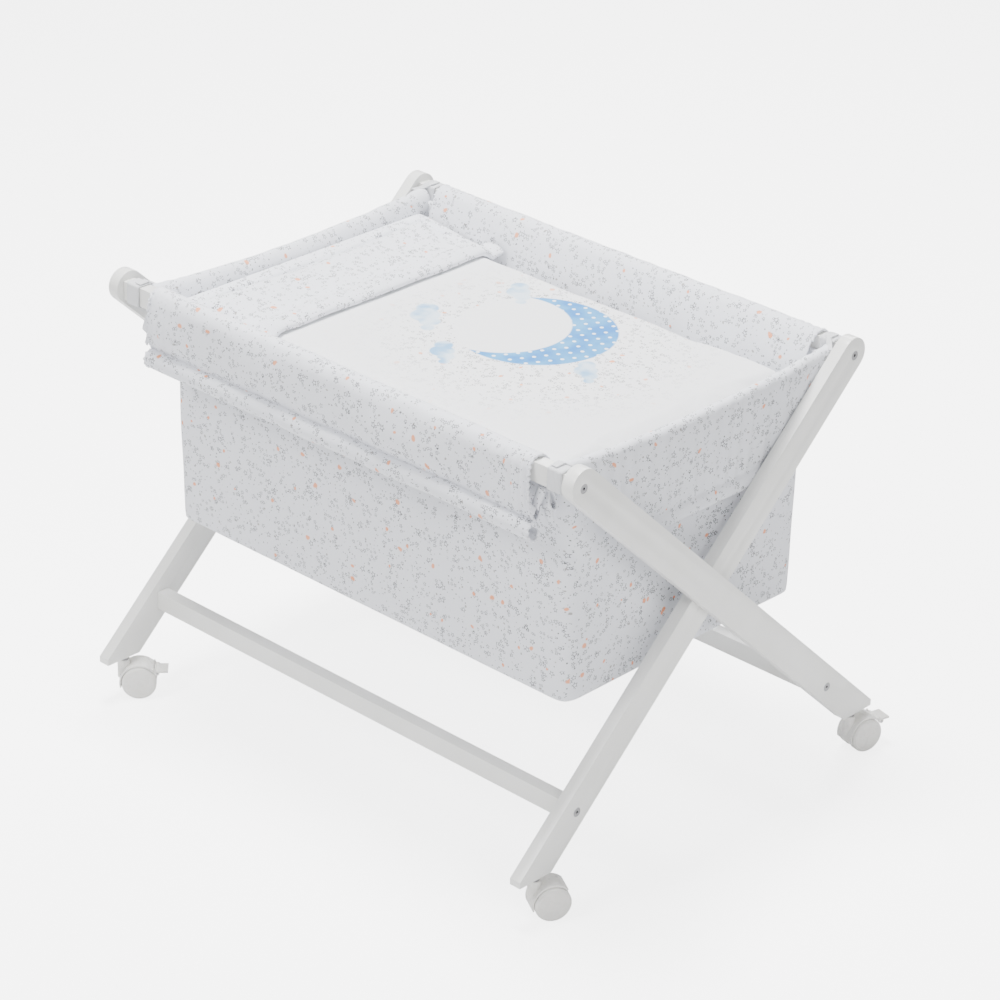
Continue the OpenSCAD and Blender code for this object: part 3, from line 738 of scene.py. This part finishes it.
# padded flaps over the rails
sideFlap = {"columns": 260, "rows": 64, "inLow": 0.553, "pad": 0.0055, "hem": 0.024, "thickness": 0.0026,
            "gatherZone": 0.085, "gather": 0.0030, "swell": 0.0085, "endFlare": 0.012}


def sideProfile(swell):
    pad = sideFlap["pad"]
    inner, outer = railY - railHalfY, railY + railHalfY
    top = railZ + railHalfZ + pad * 0.8
    low = flapFrontLow.z
    hemTop = low + sideFlap["hem"]
    return [(inner - 0.031, sideFlap["inLow"]), (inner - 0.0275, sideFlap["inLow"] + 0.018),
            (inner - 0.0235, 0.588), (inner - 0.0185, 0.603), (inner - 0.0125, railZ + 0.001),
            (inner - 0.0055, top - 0.0055), (inner + 0.003, top - 0.0007),
            (railY, top), (outer - 0.002, top - 0.0022), (outer + pad * 0.75, top - 0.010),
            (outer + pad + swell * 0.35, railZ - 0.003), (outer + pad + swell, mix(railZ, hemTop, 0.42)),
            (outer + pad + swell * 0.75, mix(railZ, hemTop, 0.74)), (outer + 0.0035, hemTop + 0.0045),
            (outer + 0.0010, hemTop), (outer + 0.0112, hemTop - 0.0015), (outer + 0.0165, hemTop - 0.010),
            (outer + 0.0135, low + 0.004), (outer + 0.0060, low), (outer - 0.0005, low + 0.005),
            (outer - 0.0005, low + 0.014)]


def makeSideFlap(name, node, side):
    halfX = flapFrontHigh.x
    span = pathLength(sideProfile(sideFlap["swell"]))

    def place(u, v):
        x = (2 * u - 1)
        seed = side * 11.3
        flutter = drift(x * 3.1, v * 2.0, seed)
        swell = sideFlap["swell"] * (0.55 + 0.9 * flutter)
        y, z = alongPath(sideProfile(swell), v)
        down = smoothStep(0.42, 1.0, v)
        nearEnd = smoothStep(halfX - sideFlap["gatherZone"], halfX, abs(x) * halfX)
        pleats = math.sin(abs(x) * halfX * math.tau / 0.013 + 3 * drift(x * 9, v * 1.5, seed))
        fold = drift(x * 16, v * 2.6 + x * 2, seed + 4)
        panel = smoothStep(0.30, 0.42, v) * (1 - smoothStep(0.80, 0.84, v))
        y += panel * (pleats * sideFlap["gather"] * nearEnd * 0.55 + fold * 0.0018)
        inside = 1 - smoothStep(0.05, 0.3, v)
        y += inside * 0.002 * drift(x * 9, v * 6, seed + 8)
        z += 0.0014 * drift(x * 5, seed, v) * (1 - down)
        z += down * 0.0026 * drift(x * 4.2, seed + 2, 0)
        flare = sideFlap["endFlare"] * down * (1 if x > 0 else -0.1)
        reach = halfX + flare + 0.0012 * math.sin(v * 160) * nearEnd
        return (x * reach, side * y, z)

    obj = makeSheet(name, sideFlap["columns"], sideFlap["rows"], place, (2 * halfX, span),
                    sideFlap["thickness"])
    addSubsurf(obj)
    finishSoft(obj, printCotton, "print_cloth", node)


makeSideFlap("flapFrontCloth", "flap_front", -1)
makeSideFlap("flapBackCloth", "flap_back", 1)

endFlap = {"columns": 200, "rows": 56, "inLow": 0.553, "hem": 0.023, "thickness": 0.0026, "sag": 0.012,
           "cut": 0.085, "cutStart": 0.125, "gather": 0.0024, "reach": 0.262}


def endProfile(top, low, swell):
    wallX = bagHigh.x
    hemTop = low + endFlap["hem"]
    tall = top - hemTop
    return [(wallX - 0.0225, endFlap["inLow"]), (wallX - 0.0200, endFlap["inLow"] + 0.020),
            (wallX - 0.0185, top - 0.024), (wallX - 0.0150, top - 0.010), (wallX - 0.0095, top - 0.0025),
            (wallX - 0.0035, top), (wallX + 0.0022, top - 0.0030),
            (wallX + 0.0050, top - 0.014), (wallX + 0.0052 + swell, top - tall * 0.4),
            (wallX + 0.0050 + swell, top - tall * 0.75), (wallX + 0.0035, hemTop + 0.003),
            (wallX + 0.0030, hemTop), (wallX + 0.0062, hemTop - 0.005), (wallX + 0.0070, low + 0.008),
            (wallX + 0.0045, low),
            (wallX + 0.0015, low + 0.004), (wallX + 0.0015, low + 0.012)]


def makeEndFlap(name, node, side):
    halfY = endFlap["reach"]
    span = pathLength(endProfile(bagHigh.z, flapFootLow.z, 0.001))

    def place(u, v):
        y = (2 * u - 1)
        seed = side * 5.7
        far = abs(y) * halfY
        top = railZ + 0.010 - endFlap["sag"] * (1 - (far / halfY) ** 2)
        top += 0.0012 * drift(y * 7, seed, 0)
        low = flapFootLow.z + endFlap["cut"] * smoothStep(endFlap["cutStart"], halfY, far) ** 1.4
        flutter = drift(y * 3.4, v * 2, seed)
        x, z = alongPath(endProfile(top, low, 0.0006 + 0.0007 * flutter), v)
        panel = smoothStep(0.30, 0.40, v) * (1 - smoothStep(0.82, 0.86, v))
        waves = drift(y * 21, v * 1.1, seed + 3)
        pleat = math.sin(y * halfY * math.tau / 0.030 + 4 * drift(y * 4, seed, 1))
        x += panel * endFlap["gather"] * (0.5 * waves + 0.32 * pleat - 0.25)
        z += smoothStep(0.5, 1.0, v) * 0.002 * drift(y * 6, seed + 2, 0)
        narrowed = halfY - 0.020 * smoothStep(0.4, 1.0, v)
        return (side * min(x, flapFootHigh.x + 0.0012), y * narrowed, z)

    obj = makeSheet(name, endFlap["columns"], endFlap["rows"], place, (2 * halfY, span),
                    endFlap["thickness"])
    addSubsurf(obj)
    finishSoft(obj, printCotton, "print_cloth", node)


makeEndFlap("flapFootCloth", "flap_foot", 1)
makeEndFlap("flapHeadCloth", "flap_head", -1)
print("flaps hung")

# seams along the flaps' ends: a thin round-section trim along a path, a little uneven
def makeTrim(name, path, radius, sides, ripple):
    bm = bmesh.new()
    rings = []
    for i, point in enumerate(path):
        ahead = Vector(path[min(i + 1, len(path) - 1)]) - Vector(path[max(i - 1, 0)])
        side = ahead.cross(Vector((1, 0, 0)))
        if side.length < 1e-9:
            side = ahead.cross(Vector((0, 1, 0)))
        side.normalize()
        lift = ahead.normalized().cross(side)
        r = radius * (1 + ripple * math.sin(i * 1.9) + ripple * drift(i * 0.7, 0, 0))
        ring = []
        for k in range(sides):
            turn = math.tau * k / sides
            ring.append(bm.verts.new(Vector(point) + side * math.cos(turn) * r + lift * math.sin(turn) * r))
        rings.append(ring)
    joinRings(bm, rings)
    bm.faces.new(rings[0])
    bm.faces.new(rings[-1])
    bmesh.ops.recalc_face_normals(bm, faces=bm.faces)
    bm.loops.layers.uv.new("cloth")
    return fromBmesh(name, bm)


def makeFlapSeams(side):
    profile = sideProfile(sideFlap["swell"] * 0.5)
    for end in (-1, 1):
        path = []
        steps = 150
        for i in range(steps + 1):
            v = 0.30 + 0.69 * i / steps
            y, z = alongPath(profile, v)
            down = smoothStep(0.42, 1.0, v)
            flare = sideFlap["endFlare"] * down * (1 if end > 0 else -0.1)
            wave = 0.0011 * math.sin(i * 0.9) + 0.0006 * math.sin(i * 2.3)
            path.append((end * (flapFrontHigh.x + flare + wave), side * (y + 0.0008), z))
        seam = makeTrim("flapSeam" + cornerName(side, end), path, 0.0019, 8, 0.25)
        finishSoft(seam, printCotton, "print_cloth")


makeFlapSeams(-1)
makeFlapSeams(1)

# bedding
bedding = {"mattressEdge": 0.012, "boardEdge": 0.0012, "slices": 30, "pipingRadius": 0.0024}


# cut across into even slices from front to back
def sliceAcross(bm, lowY, highY, count):
    for i in range(1, count):
        y = mix(lowY, highY, i / count)
        geometry = bm.verts[:] + bm.edges[:] + bm.faces[:]
        bmesh.ops.bisect_plane(bm, geom=geometry, plane_co=(0, y, 0), plane_no=(0, 1, 0))


def makeSlab(node, material, slot, edge, segments):
    bm = softCopy(node, edge, segments)
    low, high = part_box(node)
    sliceAcross(bm, low.y, high.y, bedding["slices"])
    obj = fromBmesh(node + "Soft", bm)
    obj.data.set_sharp_from_angle(angle=math.radians(50))
    addWrapUv(obj)
    finishSoft(obj, material, slot, node)
    return obj


makeSlab("base_board", boardWood, "board", bedding["boardEdge"], 2)
mattress = makeSlab("mattress", plainCotton, "foam", bedding["mattressEdge"], 4)


# piping round the mattress's upper and lower edges
def makePiping(name, z):
    hx, hy = mattressHigh.x - 0.0035, mattressHigh.y - 0.0035
    corner, path = 0.013, []
    for cx, cy, start in ((1, 1, 0), (-1, 1, 90), (-1, -1, 180), (1, -1, 270)):
        for step in range(7):
            turn = math.radians(start + step * 15)
            path.append((cx * (hx - corner) + corner * math.cos(turn),
                         cy * (hy - corner) + corner * math.sin(turn), z))
    dense = []
    for a, b in zip(path, path[1:] + path[:1]):
        count = max(1, int(math.dist(a, b) / 0.012))
        dense += [tuple(mix(p, q, i / count) for p, q in zip(a, b)) for i in range(count)]
    dense.append(dense[0])
    bm = bmesh.new()
    sides, rings = 6, []
    for i, point in enumerate(dense[:-1]):
        ahead = (Vector(dense[i + 1]) - Vector(dense[i - 1 if i else -2])).normalized()
        out = ahead.cross(Vector((0, 0, 1)))
        ring = []
        for k in range(sides):
            turn = math.tau * k / sides
            spoke = out * math.cos(turn) + Vector((0, 0, 1)) * math.sin(turn)
            ring.append(bm.verts.new(Vector(point) + bedding["pipingRadius"] * spoke))
        rings.append(ring)
    joinRings(bm, rings + rings[:1])
    bmesh.ops.recalc_face_normals(bm, faces=bm.faces)
    bm.loops.layers.uv.new("cloth")
    finishSoft(fromBmesh(name, bm), plainCotton, "foam")


makePiping("mattressPipingTop", mattressHigh.z - 0.0035)
makePiping("mattressPipingLow", mattressLow.z + 0.0035)
print("mattress and board made")

quiltLook = {"halfX": 0.356, "halfY": 0.2335, "low": 0.557, "high": 0.583, "voxel": 0.0065, "pressure": 4.0,
             "frames": 20, "cap": 0.010, "crown": 0.004, "edgeRound": 0.012}


def quiltSlab():
    bm = bmesh.new()
    bmesh.ops.create_cube(bm, size=1.0)
    for vert in bm.verts:
        vert.co.x *= 2 * quiltLook["halfX"]
        vert.co.y *= 2 * quiltLook["halfY"]
        vert.co.z = quiltLook["low"] if vert.co.z < 0 else quiltLook["high"]
    bmesh.ops.bevel(bm, geom=bm.edges[:], offset=quiltLook["edgeRound"], offset_type="OFFSET", affect="EDGES",
                    segments=3, profile=0.5, material=-1, clamp_overlap=True)
    return fromBmesh("quiltTop", bm)


def applyModifiers(obj):
    graph = bpy.context.evaluated_depsgraph_get()
    mesh = bpy.data.meshes.new_from_object(obj.evaluated_get(graph))
    obj.modifiers.clear()
    old = obj.data
    obj.data = mesh
    bpy.data.meshes.remove(old)


# the quilt swells and wrinkles a little as cloth under pressure
def swell(obj):
    before = [v.co.copy() for v in obj.data.vertices]
    for vert in obj.data.vertices:
        wave = noise.noise(vert.co * 14) * 0.0016 + noise.noise(vert.co * 45) * 0.0006
        vert.co.z += wave
    cloth = obj.modifiers.new("stuffing", "CLOTH")
    settings = cloth.settings
    settings.quality = 5
    settings.mass = 0.3
    settings.tension_stiffness = 12
    settings.compression_stiffness = 12
    settings.shear_stiffness = 6
    settings.bending_stiffness = 0.4
    settings.use_pressure = True
    settings.uniform_pressure_force = quiltLook["pressure"]
    settings.effector_weights.gravity = 0
    cloth.collision_settings.use_collision = False
    cloth.collision_settings.use_self_collision = False
    scene = bpy.context.scene
    for frameNumber in range(1, quiltLook["frames"] + 1):
        scene.frame_set(frameNumber)
    applyModifiers(obj)
    scene.frame_set(1)
    cap = quiltLook["cap"]
    for vert, old in zip(obj.data.vertices, before):
        move = vert.co - old
        if move.length > cap:
            vert.co = old + move.normalized() * (cap + 0.2 * math.tanh(move.length / cap - 1) * cap)


def makeQuilt():
    obj = quiltSlab()
    shrink = obj.modifiers.new("voxels", "REMESH")
    shrink.mode = "VOXEL"
    shrink.voxel_size = quiltLook["voxel"]
    applyModifiers(obj)
    swell(obj)
    limitX, limitY = quiltHigh.x, quiltHigh.y - 0.0005
    for vert in obj.data.vertices:
        a, b = abs(vert.co.x) / limitX, abs(vert.co.y) / limitY
        middle = (1 - a ** 4) * (1 - b ** 4) if a < 1 and b < 1 else 0
        vert.co.z += quiltLook["crown"] * middle + 0.0016 * drift(vert.co.x * 11, vert.co.y * 11, 2)
        vert.co.x = max(-limitX, min(limitX, vert.co.x))
        vert.co.y = max(-limitY, min(limitY, vert.co.y))
        vert.co.z = min(vert.co.z, quiltHigh.z + 0.004)
    for face in obj.data.polygons:
        face.use_smooth = True
    addPlanUv(obj)
    addSubsurf(obj)
    finishSoft(obj, quiltCotton, "quilt_cloth", "quilt")
    return obj


quiltTop = makeQuilt()
print("quilt made")


# height of the quilt's upper side, from above
def makeHeightReader(obj):
    tree = BVHTree.FromObject(obj, bpy.context.evaluated_depsgraph_get())

    def height(x, y):
        hit = tree.ray_cast(Vector((x, y, 1.0)), Vector((0, 0, -1)))[0]
        return hit.z if hit else quiltLook["high"]
    return height


quiltHeight = makeHeightReader(quiltTop)

# the quilt's sides, pushed down between the mattress and the walls
tucks = {"thickness": 0.011, "low": quiltLow.z + 0.002, "high": quiltLook["low"] + 0.008,
         "across": 150, "down": 36, "corner": 0.014}


def makeTucks():
    hx, hy = quiltHigh.x - 0.0025, mattressHigh.y + 0.0125
    lengthX, lengthY = 2 * hx, 2 * hy
    around = 2 * (lengthX + lengthY)
    bm = bmesh.new()
    bm.loops.layers.uv.new("plan")
    count, rows, corner = 4 * tucks["across"], tucks["down"], tucks["corner"]

    def spot(share):
        d = share * around
        if d < lengthX:
            x, y = -hx + d, -hy
        elif d < lengthX + lengthY:
            x, y = hx, -hy + d - lengthX
        elif d < 2 * lengthX + lengthY:
            x, y = hx - (d - lengthX - lengthY), hy
        else:
            x, y = -hx, hy - (d - 2 * lengthX - lengthY)
        qx, qy = max(-hx + corner, min(hx - corner, x)), max(-hy + corner, min(hy - corner, y))
        away = Vector((x - qx, y - qy))
        if away.length > corner:
            away = away.normalized() * corner
        return qx + away.x, qy + away.y

    grid = []
    for j in range(rows + 1):
        t = j / rows
        z = mix(tucks["low"], tucks["high"], t)
        row = []
        for i in range(count):
            x, y = spot(i / count)
            wave = 0.0012 * drift(x * 16, y * 16, z * 7)
            scale = 1 + wave / 0.3
            row.append(bm.verts.new((x * scale, y * scale, z)))
        grid.append(row)
    joinRings(bm, grid)
    bmesh.ops.recalc_face_normals(bm, faces=bm.faces)
    obj = fromBmesh("quiltTucks", bm)
    addSolidify(obj, tucks["thickness"], -1.0)
    layer = obj.data.uv_layers.new(name="cloth")
    for loop in obj.data.loops:
        co = obj.data.vertices[loop.vertex_index].co
        layer.data[loop.index].uv = (co.x + co.y, co.z)
    finishSoft(obj, plainCotton, "quilt_cloth")


makeTucks()

turnDown = {"columns": 120, "rows": 90, "edge": 0.044, "rise": 0.0125, "lift": 0.0025, "thickness": 0.003,
            "halfY": 0.2365, "under": 0.030, "onQuilt": 0.228}


def makeTurnDown():
    headX, edgeX = turnLow.x - 0.0012, turnHigh.x
    band = turnDown["edge"]
    lift, rise = turnDown["lift"], turnDown["rise"]
    # along the cloth: distance from the head end, height over the quilt
    path = [(headX, lift + 0.0130), (headX + 0.020, lift + 0.0125), (headX + 0.055, lift + 0.0085),
            (headX + 0.090, lift + 0.0040), (edgeX - band - 0.006, lift + 0.0008),
            (edgeX - band + 0.002, lift + 0.0012), (edgeX - band + 0.010, lift + rise * 0.72),
            (edgeX - band * 0.5, lift + rise), (edgeX - 0.009, lift + rise * 0.86),
            (edgeX - 0.001, lift + rise * 0.48), (edgeX - 0.0035, lift + 0.0012),
            (edgeX - 0.012, lift - 0.0006), (edgeX - turnDown["under"], lift - 0.0006)]
    span = pathLength(path)
    halfY = turnDown["halfY"]

    def place(u, v):
        x, up = alongPath(path, v)
        y = (2 * u - 1) * halfY
        x += 0.0022 * drift(u * 5, 3, 1) * smoothStep(0.4, 0.8, v)
        puckers = 0.0016 * drift(u * 9, v * 3, 5) + 0.0010 * drift(u * 30, v * 8, 6)
        up += puckers * smoothStep(0.5, 0.62, v) * (1 - smoothStep(0.86, 0.9, v))
        onQuilt = turnDown["onQuilt"]
        return (x, y, quiltHeight(x, max(-onQuilt, min(onQuilt, y))) + max(up, 0.0016))

    obj = makeSheet("quiltTurnDown", turnDown["columns"], turnDown["rows"], place, (2 * halfY, span),
                    turnDown["thickness"])
    addSubsurf(obj)
    finishSoft(obj, printCotton, "print_cloth", "quilt_turndown")


makeTurnDown()
print("turned-down edge made")

# straps and ties
tape = {"width": 0.024, "thickness": 0.0013, "gap": 0.0017, "square": 0.16, "turns": 96}


# a flat ribbon of cloth or tape along a path; its width runs along acrossAt(v)
def makeRibbon(name, path, width, thickness, acrossAt, material, body, rows, columns=6):
    span = pathLength(path)

    def place(u, v):
        point = alongPath(path, v)
        across = Vector(acrossAt(v))
        return tuple(Vector(point) + across * ((u - 0.5) * width))

    obj = makeSheet(name, columns, rows, place, (width, span), thickness)
    useMaterial(obj, material)
    if body:
        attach(obj, body)
    else:
        hangBetweenFrames(obj)
    return obj


# a loop round a rail, square with softened corners
def roundRail(x, y, grow):
    hy, hz, power = railHalfY + grow, railHalfZ + grow, tape["square"]
    points = []
    for i in range(tape["turns"] + 1):
        turn = math.tau * (i / tape["turns"])
        c, s = math.cos(turn), math.sin(turn)
        points.append((x, y + hy * math.copysign(abs(c) ** power, c),
                       railZ + hz * math.copysign(abs(s) ** power, s)))
    return points


def makeStrap(name, x, side, node, body):
    loop = roundRail(x, side * railY, tape["gap"])
    made = makeRibbon(name, loop, tape["width"], tape["thickness"], lambda v: (1, 0, 0), webbing,
                      body, rows=120)
    if node:
        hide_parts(node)


strapX = (strapLow.x + tape["width"] / 2, strapHigh.x - tape["width"] / 2)
backX = backStrapHigh.x - tape["width"] / 2
makeStrap("strapFrontHead", strapX[0], -1, "straps_front", "frame_outer")
makeStrap("strapFrontFoot", strapX[1], -1, None, "frame_outer")
makeStrap("strapBackHead", -backX, 1, "straps_back", "frame_inner")
makeStrap("strapBackFoot", backX, 1, None, "frame_inner")

ties = {"width": 0.013, "thickness": 0.0012, "loop": 0.030, "tail": 0.045}


# tape from a strap over the rail to the end flap's corner
def makeCornerTape(name, x, side, end):
    top = railZ + railHalfZ + 0.0045
    inner = railY - railHalfY
    start = Vector((x, side * (railY + 0.007), top - 0.0006))
    lip = Vector((x, side * (inner + 0.001), top))
    far = Vector((end * (bagHigh.x + 0.0050), side * (inner - 0.016), top - 0.0095))
    path = [tuple(start.lerp(lip, i / 4)) for i in range(4)]
    for i in range(7):
        dip = Vector((0, 0, -0.0012 * math.sin(math.pi * i / 6)))
        path.append(tuple(lip.lerp(far, i / 6) + dip))
    makeRibbon(name, path, 0.010, 0.0012, lambda v: (1, 0, 0), webbing, None, rows=36, columns=4)


for side, x in ((-1, strapX[1] - 0.006), (1, backX)):
    for end in (-1, 1):
        makeCornerTape("cornerTape" + cornerName(side, end), end * x, side, end)


# a hanging bow: two loops and two tails under the rail
def makeBow(tag, x, side, node):
    top = railZ - railHalfZ - 0.0035
    y = side * railY
    knot = Vector((x, y, top - 0.006))
    for lean in (-1, 1):
        letter = "A" if lean < 0 else "B"
        loop = []
        for i in range(13):
            t = i / 12
            turn = math.tau * t
            out = ties["loop"] * math.sin(math.pi * t)
            spread = 0.0085 * math.sin(turn)
            loop.append((knot.x + lean * (0.30 * out + 0.2 * spread), knot.y + lean * 0.0042 + spread * 0.55,
                         knot.z - out * 0.92))
        makeRibbon(f"tie{tag}Loop{letter}", loop, ties["width"], ties["thickness"],
                               lambda v, lean=lean: Vector((1.0, 0.10 * lean, 0.30 * lean)).normalized(),
                               printCotton, None, rows=48, columns=5)
        tail = [(knot.x, knot.y + lean * 0.0015, knot.z),
                (knot.x + lean * 0.003, knot.y + lean * 0.004, knot.z - 0.015),
                (knot.x + lean * 0.006, knot.y + lean * 0.003, knot.z - 0.032),
                (knot.x + lean * 0.008, knot.y + lean * 0.006, knot.z - ties["tail"])]
        makeRibbon(f"tie{tag}Tail{letter}", tail, ties["width"] * 0.8, ties["thickness"],
                               lambda v, lean=lean: Vector((1.0, 0.5 * lean * v, 0)).normalized(),
                               printCotton, None, rows=24, columns=4)
    if node:
        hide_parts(node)


bowX = (tieLow.x + 0.010, tieHigh.x - 0.010)
makeBow("FrontHead", bowX[0], -1, "ties_front")
makeBow("FrontFoot", bowX[1], -1, None)
makeBow("BackHead", bowX[0], 1, "ties_back")
makeBow("BackFoot", bowX[1], 1, None)
print("straps and ties made")

# camera, light, floor
cameraFacts = {"place": (2.97507, -3.1517, 2.5356), "azimuth": 43.03, "elevation": 26.77, "roll": 1.52,
               "lens": 126.85, "sensor": 36.0}


def makeCamera():
    az, el, roll = (math.radians(cameraFacts[k]) for k in ("azimuth", "elevation", "roll"))
    back = Vector((math.sin(az) * math.cos(el), -math.cos(az) * math.cos(el), math.sin(el)))
    right = Vector((math.cos(az), math.sin(az), 0))
    up = back.cross(right)
    r = right * math.cos(roll) + up * math.sin(roll)
    u = up * math.cos(roll) - right * math.sin(roll)
    turn = Matrix((r, u, back)).transposed()
    data = bpy.data.cameras.new("studioCamera")
    data.lens = cameraFacts["lens"]
    data.sensor_width = cameraFacts["sensor"]
    data.clip_start, data.clip_end = 0.1, 60
    camera = addObject("studioCamera", data)
    camera.matrix_world = Matrix.Translation(cameraFacts["place"]) @ turn.to_4x4()
    bpy.context.scene.camera = camera


# each lamp's place, size and power, the light all round, and the floor's glow to the camera
studio = {"lamps": {"keySoft": ((3.6, -1.2, 2.8), 1.6, 80), "fillSoft": ((-1.0, -3.6, 3.6), 1.6, 150),
                    "backSoft": ((-1.6, 3.0, 3.4), 1.6, 120), "topSoft": ((-0.4, 0.0, 3.6), 1.2, 240)},
          "allRound": 0.42, "floorGlow": 4.0}


def makeLights():
    for name, (place, size, power) in studio["lamps"].items():
        data = bpy.data.lights.new(name, "AREA")
        data.shape = "DISK"
        data.size = size
        data.energy = power
        light = addObject(name, data)
        aim = Vector((0, 0, 0.4)) - Vector(place)
        light.matrix_world = Matrix.Translation(place) @ aim.to_track_quat("-Z", "Y").to_matrix().to_4x4()
    world = bpy.data.worlds.new("studioWorld")
    world.use_nodes = True
    world.node_tree.nodes["Background"].inputs["Color"].default_value = (1, 1, 1, 1)
    world.node_tree.nodes["Background"].inputs["Strength"].default_value = studio["allRound"]
    bpy.context.scene.world = world


def makeFloor():
    bm = bmesh.new()
    bmesh.ops.create_grid(bm, x_segments=1, y_segments=1, size=12.0)
    floor = fromBmesh("studioFloor", bm)
    material, w, shader = startMaterial("paleFloor")
    shader.inputs["Base Color"].default_value = (0.9, 0.9, 0.9, 1)
    shader.inputs["Roughness"].default_value = 0.9
    shader.inputs["Emission Color"].default_value = (1, 1, 1, 1)
    w.link(w.math("MULTIPLY", w.node("ShaderNodeLightPath").outputs["Is Camera Ray"], studio["floorGlow"]),
           shader.inputs["Emission Strength"])
    useMaterial(floor, material)


makeCamera()
makeLights()
makeFloor()
print("camera, light and floor set")
